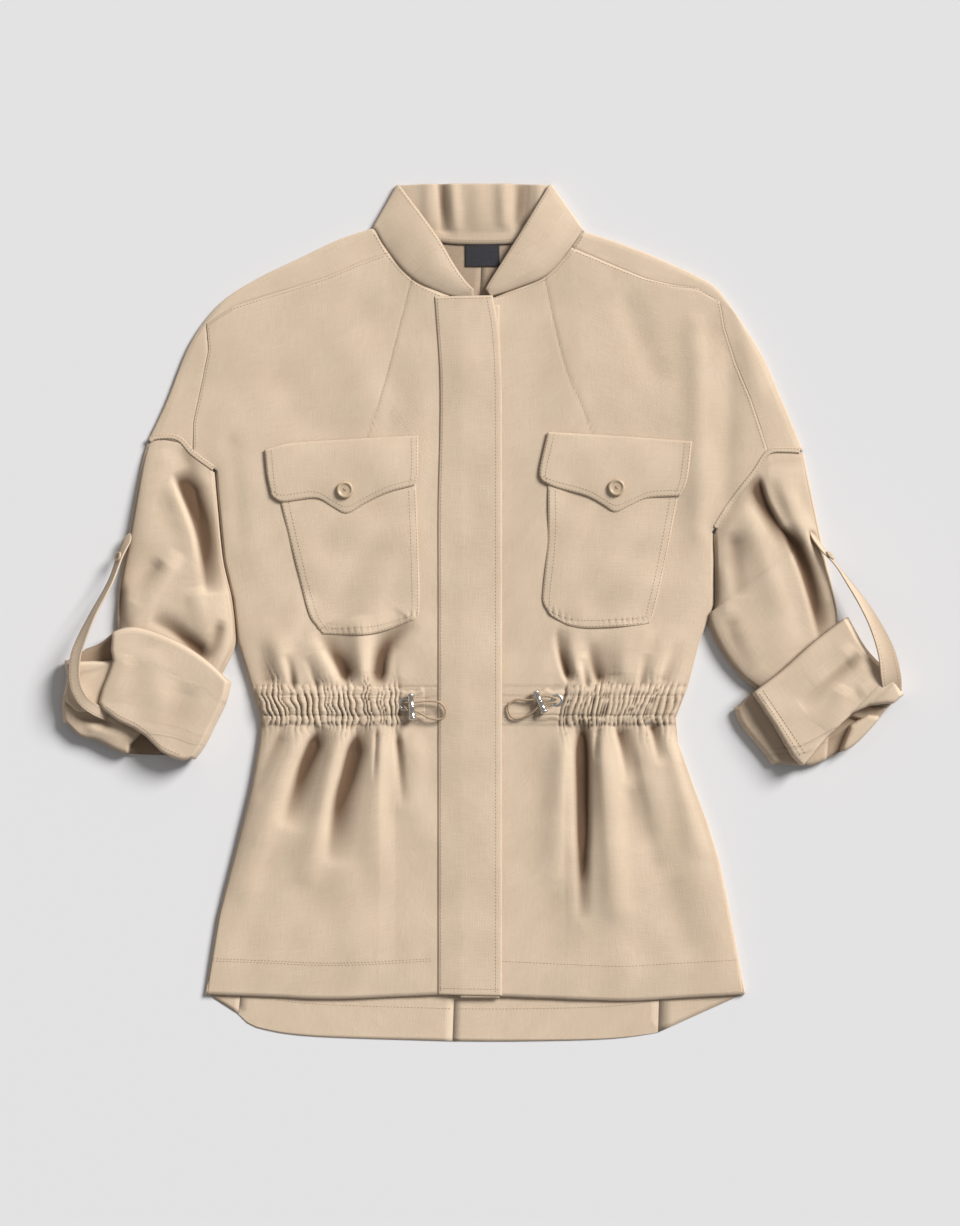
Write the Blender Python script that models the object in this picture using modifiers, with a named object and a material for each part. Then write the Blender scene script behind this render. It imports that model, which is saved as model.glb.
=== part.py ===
"""A linen safari jacket laid flat on its back, with its sleeves rolled up and its waist drawn in.

The sheet of the back lies on z = 0, the fronts, sleeves and collar lie on it, and +Y runs up the body
to the collar. The tables are in millimetres from the centre of the laid jacket, and the meshes in metres.
"""

import math
from collections import namedtuple

import bpy
import numpy as np
from mathutils.bvhtree import BVHTree

MM = 0.001
LAID_SHIFT = (0.57, 1.02)

# Walls and clearances
WALL = 1.2
TRIM_WALL = 1.0
CUFF_WALL = 2.0
STRAP_WALL = 1.4
SEAM_GAP = 0.4
LAY_GAP = 0.35

# Relief of the laid cloth
EDGE_HEIGHT = 3.8
ROUNDING = 26.0
CREST_BY_Y = ((330, 4.6), (250, 5.2), (120, 6.0), (0, 6.0), (-80, 7.2), (-180, 6.6), (-280, 4.6),
              (-332, 3.4))

# Waist: a drawn casing between two rows of stitches
CASING_TOP = -71.0
CASING_FOOT = -88.0
GATHERS = 24
GATHER_DEPTH = 1.15
GATHER_FADE_UP = 26.0
GATHER_FADE_DOWN = 34.0
GATHER_START = {"left": -71.0, "right": 68.0}

# Closure and hem
FRONT_EDGE = {"left": -29.0, "right": -28.0}
CENTRE_BACK_TOP = (-1.0, 311.5)
CENTRE_BACK_FOOT = (-26.0, -365.0)

# Sleeves: the stations along each, how its lower layer rises into the cuff, and its shape at the armhole
SLEEVE_STATIONS = (0, 0.08, 0.18, 0.29, 0.4, 0.51, 0.62, 0.73, 0.83, 0.92, 1)
SLEEVE_RISE = ((0.72, 0), (0.85, 2.45), (1, 2.45))
SLEEVE_UPPER = 9
SLEEVE_LOWER = 6
SLEEVE_LEAST = 0.8
ARMHOLE_GAP = 1.2
ARMHOLE_REACH = 0.2
ARMHOLE_FULLNESS = 0.3

# Points across and along the laid pieces, and along the straps
CUFF_ACROSS = 9
CUFF_ALONG = 7
POCKET_GRID = (9, 9)
FLAP_GRID = (11, 5)
STRIP_GRID = (5, 22)
LAP_GRID = (4, 22)
LABEL_GRID = (4, 4)
STAND_ACROSS = 13
STAND_ALONG = 5
WING_ACROSS = 7
TAB_STATIONS = 22

# Fullness of the laid pieces
POCKET_PUFF = 2.4
FLAP_PUFF = 0.6
WING_PUFF = 2.2
WING_FALL = 1.6
STAND_WAVE = 1.5

# Small parts
BUTTON_RADIUS = 7.2
BUTTON_HEIGHT = 2.6
TAB_BUTTON_RADIUS = 4.6
TAB_BUTTON_HEIGHT = 2.0
EYELET_RADIUS = 5.6
EYELET_HOLE = 2.9
EYELET_HEIGHT = 1.5
CORD_RADIUS = 0.9
LOCK_RADIUS = 2.6
LOCK_FLARE = 3.4
LOCK_HOLE = 1.45
TAB_WIDTH = 9.5

# Every outline row is (x, y) in millimetres.
SHOULDER = {
    "left": ((-92, 326), (-122, 316), (-156, 300), (-193, 282), (-224, 261), (-249, 227), (-269, 178),
             (-285, 144)),
    "right": ((84, 323), (116, 313), (151, 299), (187, 282), (203, 269), (235, 221), (250, 189),
              (272, 136)),
}
FORWARD_SEAM = {
    "left": ((-80, 305), (-105, 296), (-138, 282), (-184, 268), (-222, 255), (-235, 244), (-233, 222),
             (-241, 184),
             (-246, 160), (-246, 135)),
    "right": ((75, 309), (99, 299), (125, 288), (150, 279), (187, 273), (201, 263), (203, 249), (212, 217),
              (227, 181), (242, 135)),
}
ARMHOLE = {
    "left": ((-285, 144), (-277, 148), (-259, 147), (-246, 134), (-227, 120)),
    "right": ((272, 136), (257, 137), (242, 135), (230, 118), (210, 92), (195, 68)),
}
SIDE = {
    "left": ((-227, 120), (-225, 95), (-220, 44), (-212, 10), (-208, -26), (-197, -62), (-189, -90),
             (-190, -112),
             (-197, -150), (-209, -198), (-225, -259), (-236, -325)),
    "right": ((195, 68), (196, 44), (196, 5), (184, -25), (174, -64), (164, -90), (166, -112), (180, -151),
              (191, -180), (201, -212), (208, -246), (223, -325)),
}
NECK = {
    "left": ((-29, 270), (-37, 271), (-60, 283), (-80, 305)),
    "right": ((-28, 261), (4, 265), (27, 273.5), (53, 284.5), (75, 309)),
}
FRONT_HEM = {
    "left": ((-29, -325), (-125, -329), (-185, -327), (-236, -325)),
    "right": ((-28, -326), (79, -330), (127, -331), (174, -328), (223, -325)),
}
BACK_HEM = {
    "left": ((-236, -325), (-224, -330), (-212, -337), (-202, -348), (-186, -355), (-142, -361),
             (-26, -365)),
    "right": ((223, -325), (207, -337), (184, -350), (152, -357), (107, -363), (33, -365), (-26, -365)),
}
BACK_NECK = {
    "left": ((-92, 326), (-60, 318), (-30, 312.5), (-1, 311.5)),
    "right": ((84, 323), (55, 317), (28, 312.5), (-1, 311.5)),
}
# Where the forward seam turns down the arm, where the armhole seam meets it, and the neck's share of a front
TURN = {"left": 5, "right": 5}
ARM_TURN = {"left": 3, "right": 2}
NECK_SHARE = {"left": 0.22, "right": 0.40}
# The rows of a front, as y at its side edge
SIDE_ROWS = {
    "left": (244, 222, 190, 160, 135, 120, 95, 65, 34, 5, -20),
    "right": (263, 240, 210, 180, 157, 135, 118, 92, 68, 40, 8, -20),
}
WAIST_ROWS = (-44, -58, CASING_TOP, (CASING_TOP + CASING_FOOT) / 2, CASING_FOOT, -102, -122)
SKIRT_ROWS = (-150, -185, -225, -268, -305)
# How far the front is wrapped round the side onto the back: (y, width)
WRAP = {
    "left": ((120, 9), (-80, 12), (-325, 26)),
    "right": ((68, 9), (-80, 16), (-325, 72)),
}
SLEEVE_OUTER = {
    "left": ((-285, 144), (-291, 120), (-301, 64), (-309, 20), (-310, -14), (-309, -34)),
    "right": ((272, 136), (277, 110), (288, 58), (299, 9), (301, -8), (304, -26)),
}
SLEEVE_INNER = {
    "left": ((-229, 119), (-227, 95), (-222, 44), (-214, 10), (-210, -26), (-220, -51), (-229, -70)),
    "right": ((197, 66), (198, 44), (198, 5), (192, -4), (195, -18), (205, -38), (218, -55), (233, -67),
              (246, -80)),
}

# The big folds: a ridge where the height is positive, a trough where it is negative.
Fold = namedtuple("Fold", "x0 y0 x1 y1 height width")
BODY_FOLDS = (
    Fold(-117, -20, -118, -66, -2.6, 9),
    Fold(-89, -16, -88, -66, -2.4, 7),
    Fold(-103, -8, -102, -66, 2.2, 8),
    Fold(-178, -22, -160, -64, 2.4, 9),
    Fold(84, -20, 97, -66, -2.6, 8),
    Fold(66, -10, 74, -66, 2.4, 8),
    Fold(140, -14, 128, -66, 2.0, 9),
    Fold(-137, -98, -170, -176, -2.4, 10),
    Fold(-100, -96, -128, -186, -2.4, 9),
    Fold(-116, -98, -150, -230, 3.6, 13),
    Fold(-76, -96, -64, -172, 3.0, 11),
    Fold(-166, -98, -205, -240, 2.6, 14),
    Fold(84, -96, 85, -200, -4.2, 8),
    Fold(66, -98, 60, -236, 2.6, 12),
    Fold(103, -98, 114, -262, 4.0, 13),
    Fold(150, -98, 184, -205, 2.6, 12),
    Fold(128, -100, 150, -220, -2.0, 10),
    Fold(-226, 150, -190, 30, 1.6, 16),
    Fold(186, 230, 186, 60, 2.2, 12),
)
SLEEVE_FOLDS = {
    "left": (Fold(-240, 112, -250, 22, -2.6, 10), Fold(-262, 56, -296, -6, 4.0, 13),
             Fold(-262, 120, -272, 40, 2.2, 12)),
    "right": (Fold(240, 116, 268, 44, -3.0, 9), Fold(268, 44, 286, -24, -4.0, 8),
              Fold(226, 60, 250, -30, 4.4, 13),
              Fold(288, 40, 296, 0, 1.8, 7)),
}
SLEEVE_CREST = ((0.0, 6.2), (0.35, 8.5), (0.7, 11.0), (1.0, 11.5))


# The collar: its neck seam and free edge from the front tip to the fold, and its back between the two folds
COLLAR_SEAM = {
    "left": ((-8, 269), (-22, 269), (-37, 273), (-60, 285), (-79, 306), (-91, 326)),
    "right": ((5, 269), (27, 276), (53, 287), (73, 309), (83, 324)),
}
COLLAR_EDGE = {
    "left": ((-8, 273), (-14, 279), (-24, 293), (-40, 320), (-71, 362)),
    "right": ((2, 273), (6, 280), (14, 293), (32, 322), (56, 362)),
}
COLLAR_TIP = {"left": ((-8, 269), (-8, 273)), "right": ((5, 269), (2, 273))}
COLLAR_FOLD = {"left": ((-91, 326), (-71, 362)), "right": ((83, 324), (56, 362))}
COLLAR_BACK_SEAM = ((-91, 326), (-60, 320), (-30, 315), (-1, 314), (28, 315), (55, 319), (83, 324))
COLLAR_BACK_EDGE = ((-71, 362), (-40, 363), (0, 363), (30, 363), (56, 362))
FRONT_NECK_TOP = 6.9
FRONT_FOOT_TOP = 4.3
COLLAR_FRONT_HEIGHT = 6.8
COLLAR_BACK_HEIGHT = WALL / 2

# The rolled cuffs: the rim round the sleeve, the mouth and both sides, for the upper and the lower layer
CUFF = {
    "left": {
        "rim": ((-337, -36), (-322, -33), (-309, -16), (-287, -14), (-246, -34), (-218, -58)),
        "mouth": ((-338, -64), (-329, -76), (-310, -90), (-290, -101), (-272, -117), (-252, -123)),
        "front_left": ((-337, -36), (-338, -64)),
        "right": ((-218, -58), (-223, -76), (-239, -112), (-252, -123)),
        "back_rim": ((-349, -38), (-330, -29), (-309, -20), (-262, -40), (-218, -62)),
        "back_mouth": ((-347, -93), (-335, -105), (-320, -107), (-302, -121), (-267, -123), (-250, -126)),
        "back_left": ((-349, -38), (-353, -66), (-347, -93)),
        "back_right": ((-218, -62), (-224, -80), (-240, -114), (-250, -126)),
        "crest": ((0.0, 17.5), (0.5, 23.0), (1.0, 20.0)),
        "left_height": ((0.0, 18.0), (1.0, 19.0)),
        "edge": 10.0,
        "bulge_left": (-3.0, 0.0),
        "bulge_right": (3.0, -1.5),
        "folds": (Fold(-300, -50, -330, -62, 1.6, 8), Fold(-250, -60, -262, -100, -1.2, 12)),
    },
    "right": {
        "rim": ((231, -71), (252, -52), (280, -27), (305, -8)),
        "mouth": ((266, -120), (275, -121), (286, -110), (298, -97), (321, -82), (346, -68)),
        "front_left": ((231, -71), (242, -87), (266, -120)),
        "right": ((305, -8), (319, -33), (330, -46), (346, -68)),
        "back_rim": ((226, -76), (252, -56), (280, -31), (304, -13)),
        "back_mouth": ((250, -127), (275, -128), (298, -117), (315, -109), (332, -98), (344, -78)),
        "back_left": ((226, -76), (222, -93), (240, -118), (250, -127)),
        "back_right": ((304, -13), (318, -37), (331, -52), (344, -78)),
        "crest": ((0.0, 17.5), (0.5, 22.0), (1.0, 20.0)),
        "left_height": ((0.0, 14.0), (1.0, 12.0)),
        "edge": 10.0,
        "bulge_left": (-3.0, -1.0),
        "bulge_right": (3.5, 1.5),
        "folds": (Fold(262, -92, 316, -50, -2.0, 8), Fold(278, -70, 312, -40, 1.4, 9)),
    },
}

# The straps that hold the cuffs up: (x, y, height, lean in degrees)
TAB_PATH = {
    "left": ((-299, 63, 9, -4), (-309, 45, 11.5, -22), (-316, 23, 17, -50), (-331, -4, 22, -46),
             (-341, -24, 24, -30),
             (-346, -40, 24, -16), (-346, -60, 23.5, -10), (-340, -75, 22.5, -4), (-331, -86, 19, 0),
             (-323, -93, 14.5, 0)),
    "right": ((279, 68, 9, 4), (289, 46, 13, 25), (303, 27, 18, 45), (319, 5, 22, 55), (334, -20, 24, 60),
              (345, -43, 23, 60), (350, -62, 19, 60)),
}
TAB_BUTTON = {"left": (-308, 50), "right": (286, 52)}

# Pockets and flaps, each as its lower, upper, left and right edge
POCKET = {
    "left": (((-136, -19), (-113, -20), (-89, -18), (-58, -7)), ((-176, 112), (-117, 112), (-57, 112)),
             ((-136, -19), (-141, -12), (-148, 0), (-160, 45), (-176, 112)), ((-58, -7), (-54, 4),
                                                                              (-55, 62), (-57, 112))),
    "right": (((57, -3), (71, -11), (90, -14), (126, -12), (141, -10)), ((55, 112), (110, 112), (168, 112)),
              ((57, -3), (51, 8), (51, 20), (55, 62), (55, 112)), ((141, -10), (145, 0), (155, 43),
                                                                   (168, 112))),
}
FLAP = {
    "left": (((-179, 98), (-169, 93), (-142, 96), (-127, 88), (-115, 83), (-99, 92), (-80, 101),
              (-58, 107)),
             ((-185, 137), (-160, 143), (-97, 147), (-55, 149)),
             ((-179, 98), (-183, 116), (-185, 137)), ((-58, 107), (-55, 118), (-55, 149))),
    "right": (((50, 111), (62, 105), (87, 98), (102, 90), (112, 84), (124, 89), (140, 96), (167, 98)),
              ((55, 152), (93, 150), (126, 148), (177, 144)),
              ((50, 111), (48, 120), (55, 152)), ((167, 98), (173, 112), (177, 144))),
}
FLAP_BUTTON = {"left": (-117, 103), "right": (113, 105)}
LABEL_EDGES = (((-15, 293), (14, 293)), ((-15, 312), (14, 312)), ((-15, 293), (-15, 312)),
               ((14, 293), (14, 312)))
UNDERLAP_EDGES = (((-20, -328), (14, -328)), ((-20, 260), (14, 260)), ((-20, -328), (-20, 260)),
                  ((14, -328), (14, 180), (14, 240), (14, 260)))
PLACKET_EDGES = (((-38, -325), (16, -326)), ((-41, 267), (8, 268)),
                 ((-38, -325), (-38, 60), (-36, 180), (-41, 267)), ((16, -326), (16, 180), (13, 240),
                                                                    (8, 268)))

# The drawcord's eyelets, locks and routes. The locks' holes are measured along the barrel from its middle.
EYELET_PLACE = {"left": (-66.5, -79), "right": (62.5, -75.5)}
CORD_LOCK = {
    "left": {"place": (-60.5, -80.5, 13.4), "length": 22, "lean": 4, "holes": (3.5, -3.5)},
    "right": {"place": (48.3, -76.5, 13.4), "length": 20, "lean": 23, "holes": (3.6, -3.6)},
}
CORD_POINTS = 40
CORD_ROUTE = {
    "left": ((-66.5, -77.5, 9.3), (-66.3, -77.3, 12.0), (-64.6, -77.2, 13.3), (-61, -77.0, 13.4),
             (-57, -76.8, 13.4),
             (-50, -76.0, 12.7), (-41, -76.1, 12.3), (-35.5, -78.2, 12.3), (-31.6, -83.8, 12.3), (-33,
                                                                                                  -89.6,
                                                                                                  12.3),
             (-38.5, -91.4, 12.3), (-46, -90.1, 12.5), (-53, -86.2, 13.0), (-57.4, -84.2, 13.4), (-61,
                                                                                                  -83.9,
                                                                                                  13.4),
             (-64.4, -83.3, 13.3), (-66.3, -81.0, 12.0), (-66.5, -80.5, 9.3)),
    "right": ((62.5, -74.0, 8.9), (61.6, -73.8, 11.8), (58.6, -72.6, 13.3), (54, -71.6, 13.4),
              (49.9, -72.0, 13.4),
              (43.9, -74.4, 13.4), (37, -75.2, 12.2), (28, -74.7, 11.2), (21.4, -80, 10.9), (23.5, -88.8,
                                                                                             10.9),
              (30, -91.0, 10.9), (40, -86.8, 11.8), (46.7, -81.0, 13.4), (52.7, -78.6, 13.4), (57.6,
                                                                                               -77.6, 13.3),
              (61.6, -76.9, 11.8), (62.5, -77.0, 8.9)),
}


def smooth_path(points, per_span=8):
    """A Catmull-Rom curve through the points, as a dense array."""
    p = np.asarray(points, float)
    padded = np.vstack([2 * p[0] - p[1], p, 2 * p[-1] - p[-2]])
    t = np.linspace(0, 1, per_span, endpoint=False)[:, None]
    spans = []
    for a, b, c, d in zip(padded[:-3], padded[1:-2], padded[2:-1], padded[3:]):
        spans.append(b + 0.5 * t * (c - a + t * (2 * a - 5 * b + 4 * c - d + t * (3 * (b - c) + d - a))))
    return np.vstack([*spans, p[-1:]])


def spread(points, shares):
    """Points of the smooth curve at these shares of its length."""
    path = smooth_path(points)
    run = np.concatenate([[0], np.cumsum(np.linalg.norm(np.diff(path, axis=0), axis=1))])
    at = np.asarray(shares, float) * run[-1]
    return np.stack([np.interp(at, run, path[:, k]) for k in range(path.shape[1])], axis=1)


def column_of(table, y):
    """The second column of a table, read at a value of its first."""
    rows = np.asarray(sorted(table), float)
    return np.interp(y, rows[:, 0], rows[:, 1])


def x_at(points, y):
    """x of the smooth curve where it has this y. The curve runs one way in y."""
    path = smooth_path(points)
    order = np.argsort(path[:, 1])
    return np.interp(y, path[order, 1], path[order, 0])


def distance_to(points, x, y):
    """Distance in plan from (x, y) to the smooth curve."""
    path = smooth_path(points, 3)
    a, b = path[:-1], path[1:]
    p = np.stack([np.ravel(x), np.ravel(y)], axis=1)[:, None]
    share = ((p - a) * (b - a)).sum(-1) / ((b - a) ** 2).sum(-1)
    near = a + np.clip(share, 0, 1)[..., None] * (b - a)
    return np.linalg.norm(p - near, axis=-1).min(axis=1).reshape(np.shape(x))


def rounded(distance, reach=ROUNDING):
    """0 at an edge, 1 from reach inwards, as a quarter of an ellipse."""
    return np.sqrt(1 - (1 - np.clip(distance / reach, 0, 1)) ** 2)


def relief(folds, x, y):
    """Sum of soft ridges and troughs, each fading across its width and towards its ends."""
    total = np.zeros(np.shape(x))
    for fold in folds:
        along = np.array([fold.x1 - fold.x0, fold.y1 - fold.y0], float)
        length = np.hypot(*along)
        along /= length
        s = (x - fold.x0) * along[0] + (y - fold.y0) * along[1]
        t = (x - fold.x0) * along[1] - (y - fold.y0) * along[0]
        ends = np.clip((s + fold.width) / (2 * fold.width), 0,
                       1) * np.clip((length + fold.width - s) / (2 * fold.width), 0, 1)
        total += fold.height * np.exp(-((t / fold.width) ** 2)) * ends * ends * (3 - 2 * ends)
    return total


def body_height(side, x, y):
    """Height of the middle of the cloth over a front or a shoulder."""
    outline = np.minimum(distance_to(SHOULDER[side] + SLEEVE_OUTER[side][1:], x, y),
                         distance_to(SIDE[side], x, y))
    crest = column_of(CREST_BY_Y, y) + relief(BODY_FOLDS, x, y)
    return np.maximum(EDGE_HEIGHT * 0.7, EDGE_HEIGHT + (crest - EDGE_HEIGHT) * rounded(outline))


class Cloth:
    """Rows of points joined into one open surface, which Solidify then gives a wall."""

    def __init__(self):
        self.points = []
        self.faces = []

    def row(self, keys, points):
        """Adds points and returns the row as (key, index) pairs."""
        first = len(self.points)
        self.points.extend(tuple(float(c) * MM for c in p) for p in points)
        return list(zip(keys, range(first, len(self.points))))

    def join(self, upper, lower):
        """Faces between two rows, matched by key, so a row may have points that the other lacks."""
        i = j = 0
        while i < len(upper) - 1 or j < len(lower) - 1:
            next_i = upper[i + 1][0] if i < len(upper) - 1 else math.inf
            next_j = lower[j + 1][0] if j < len(lower) - 1 else math.inf
            step_i, step_j = next_i <= next_j, next_j <= next_i
            corners = [upper[i][1], lower[j][1]]
            if step_j:
                corners.append(lower[j + 1][1])
            if step_i:
                corners.append(upper[i + 1][1])
            self.faces.append(corners)
            i, j = i + step_i, j + step_j

    def join_all(self, rows):
        for upper, lower in zip(rows, rows[1:]):
            self.join(upper, lower)

    def build(self, name, wall, material, offset=0.0):
        mesh = bpy.data.meshes.new(name)
        mesh.from_pydata(self.points, [], self.faces)
        mesh.update()
        mesh.shade_smooth()
        obj = bpy.data.objects.new(name, mesh)
        jacket.objects.link(obj)
        solid = obj.modifiers.new("wall", "SOLIDIFY")
        solid.thickness = wall * MM
        solid.offset = offset
        mesh.materials.append(material)
        return obj


def material_of(name, colour, roughness, metallic=0.0):
    """A plain material of this colour."""
    material = bpy.data.materials.new(name)
    material.use_nodes = True
    shader = material.node_tree.nodes["Principled BSDF"]
    shader.inputs["Base Color"].default_value = (*colour, 1)
    shader.inputs["Roughness"].default_value = roughness
    shader.inputs["Metallic"].default_value = metallic
    return material


def surface_tree(obj):
    """A search tree of the object's finished surface, in world metres."""
    bpy.context.view_layer.update()
    graph = bpy.context.evaluated_depsgraph_get()
    return BVHTree.FromObject(obj, graph)


def top_of(trees, x, y, reach=1.6):
    """Highest surface under each point and under its close neighbours, in millimetres."""
    found = []
    for px, py in zip(np.ravel(x), np.ravel(y)):
        best = 0.0
        for dx, dy in ((0, 0), (reach, 0), (-reach, 0), (0, reach), (0, -reach)):
            for tree in trees:
                hit = tree.ray_cast(((px + dx) * MM, (py + dy) * MM, 0.2), (0, 0, -1))[0]
                if hit is not None:
                    best = max(best, hit.z / MM)
        found.append(best)
    return np.array(found).reshape(np.shape(x))


def fold_under(x, y, height, inwards, bottom, steps):
    """Points of a half turn that carries the cloth from an edge at this height down to the bottom layer."""
    radius = (height - bottom) / 2
    angles = np.linspace(0, math.pi, steps + 1)[1:]
    across = radius * np.sin(angles)
    z = bottom + radius + radius * np.cos(angles)
    return np.stack([x - inwards[0] * across, y - inwards[1] * across, z], axis=1)


def seam_stations(side):
    """The forward seam as straight runs: along the shoulder to its turn, then down the arm."""
    rows = np.asarray(FORWARD_SEAM[side], float)
    turn = TURN[side]
    along = spread(rows[:turn + 1], np.linspace(0, 1, 7))
    down_y = [y for y in SIDE_ROWS[side] if rows[-1, 1] <= y < rows[turn, 1]]
    down = np.column_stack([x_at(rows[turn:], down_y), down_y])
    return along, np.vstack([along[-1:], down])


def on_runs(points, shares):
    """Points at these shares of the length of a line of straight runs."""
    run = np.concatenate([[0], np.cumsum(np.linalg.norm(np.diff(points, axis=0), axis=1))])
    return np.stack([np.interp(np.asarray(shares) * run[-1], run, points[:, k]) for k in (0, 1)], axis=1)


def front_rows(side):
    """The plan of a front as rows from the neck to the hem: keys, points and the y at the side."""
    along, down_seam = seam_stations(side)
    down = np.vstack([down_seam, ARMHOLE[side][ARM_TURN[side] + 1:], SIDE[side][1:]])
    start = (abs(GATHER_START[side] - FRONT_EDGE[side])) / abs(x_at(SIDE[side], -79) - FRONT_EDGE[side])
    columns = np.concatenate([np.linspace(0, start, 5)[:-1], np.linspace(start, 1, 2 * GATHERS + 1)])
    keys = np.arange(len(columns))
    coarse = keys[::2]
    corner = coarse[np.argmin(abs(columns[coarse] - NECK_SHARE[side]))]
    neck = spread(NECK[side], columns[:corner + 1] / columns[corner])
    shoulder = on_runs(along, (columns[corner + 1:] - columns[corner]) / (1 - columns[corner]))
    top_curve = np.vstack([neck, shoulder])
    hem_curve = spread(FRONT_HEM[side], columns)
    y_top, y_foot, y_waist = down[0][1], FRONT_HEM[side][0][1], WAIST_ROWS[0]
    side_x = edge_x(down, y_waist)
    waist_x = FRONT_EDGE[side] + (side_x - FRONT_EDGE[side]) * columns
    waist_curve = np.column_stack([waist_x, np.full(len(columns), float(y_waist))])
    rows = []
    for y in SIDE_ROWS[side] + WAIST_ROWS + SKIRT_ROWS:
        upper = y > y_waist
        share = (y_top - y) / (y_top - y_waist) if upper else (y - y_waist) / (y_foot - y_waist)
        first, last = (top_curve, waist_curve) if upper else (waist_curve, hem_curve)
        bulge = np.array([edge_x(down, y), y]) - (1 - share) * first[-1] - share * last[-1]
        plan = (1 - share) * first + share * last + columns[:, None] * bulge
        use = keys if y in WAIST_ROWS else coarse
        rows.append((use, plan[use], y))
    rows.append((coarse, hem_curve[coarse], y_foot))
    return rows


def edge_x(points, y):
    """x at this y on a line of straight runs."""
    points = np.asarray(points, float)[::-1]
    return np.interp(y, points[:, 1], points[:, 0])


def gather_wave(key, y):
    """Up and down from one column to the next at the waist, uneven from gather to gather."""
    fade = np.where(y > CASING_TOP, np.clip(1 - (y - CASING_TOP) / GATHER_FADE_UP, 0, 1),
                    np.clip(1 - (CASING_FOOT - y) / GATHER_FADE_DOWN, 0, 1))
    uneven = 0.8 + 0.2 * np.sin(2.3 * key) * np.sin(0.7 * key)
    sign = np.where(key % 2 == 0, -1.0, 1.0) * (key >= 4)
    return GATHER_DEPTH * sign * uneven * fade


def armhole_y(side, x):
    """y of the armhole seam, as runs between the points where shoulder strip and front meet it."""
    turn = ARM_TURN[side]
    top = spread(ARMHOLE[side][:turn + 1], np.linspace(0, 1, 4))
    line = np.vstack([top, ARMHOLE[side][turn + 1:]])
    order = np.argsort(line[:, 0])
    return np.interp(x, line[order, 0], line[order, 1])


def make_front(side, material):
    """A front from its neck to its hem, turned round the side and carried to the seam on the back."""
    cloth = Cloth()
    rows = front_rows(side)
    inward = 1.0 if side == "left" else -1.0
    top_rows, wrap_rows = [], []
    for row_keys, plan, y_side in rows:
        plan = plan.copy()
        x, y = plan[:, 0], plan[:, 1]
        on_side = y_side <= SIDE[side][0][1]
        x[-1] += inward * ((EDGE_HEIGHT - WALL / 2) / 2 + WALL / 2 if on_side else SEAM_GAP)
        z = body_height(side, x, y) + gather_wave(row_keys, y)
        if on_side:
            z[-1] = EDGE_HEIGHT
        made = cloth.row(row_keys, np.stack([x, y, z], axis=1))
        top_rows.append(made)
        if on_side:
            under = fold_under(x[-1], y[-1], EDGE_HEIGHT, (inward, 0), WALL / 2, 4)
            width = column_of(WRAP[side], y_side)
            run = under[-1] + np.array([inward * width, 0, 0])
            run[1] = wrapped_foot(side, run[0], y_side)
            middle = (under[-1] + run) / 2
            wrap_points = np.vstack([under, middle, run])
            wrap_rows.append([made[-1]] + cloth.row(range(1000, 1000 + len(wrap_points)), wrap_points))
    cloth.join_all(top_rows)
    cloth.join_all(wrap_rows)
    return cloth.build(f"front_{side}", WALL, material)


def wrapped_foot(side, x, y):
    """The wrapped part's y: the hem dips there to the longer back, and the rows above follow it softly."""
    hem = smooth_path(BACK_HEM[side])
    order = np.argsort(hem[:, 0])
    dip = np.interp(x, hem[order, 0], hem[order, 1]) - hem[0, 1]
    return y + dip * np.clip((-y - 225) / 100, 0, 1)


def side_seam(side, y):
    """x of the side seam on the back, where the wrapped front ends."""
    inward = 1.0 if side == "left" else -1.0
    return edge_x(SIDE[side], y) + inward * ((EDGE_HEIGHT + WALL / 2) / 2 + column_of(WRAP[side], y))


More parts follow.
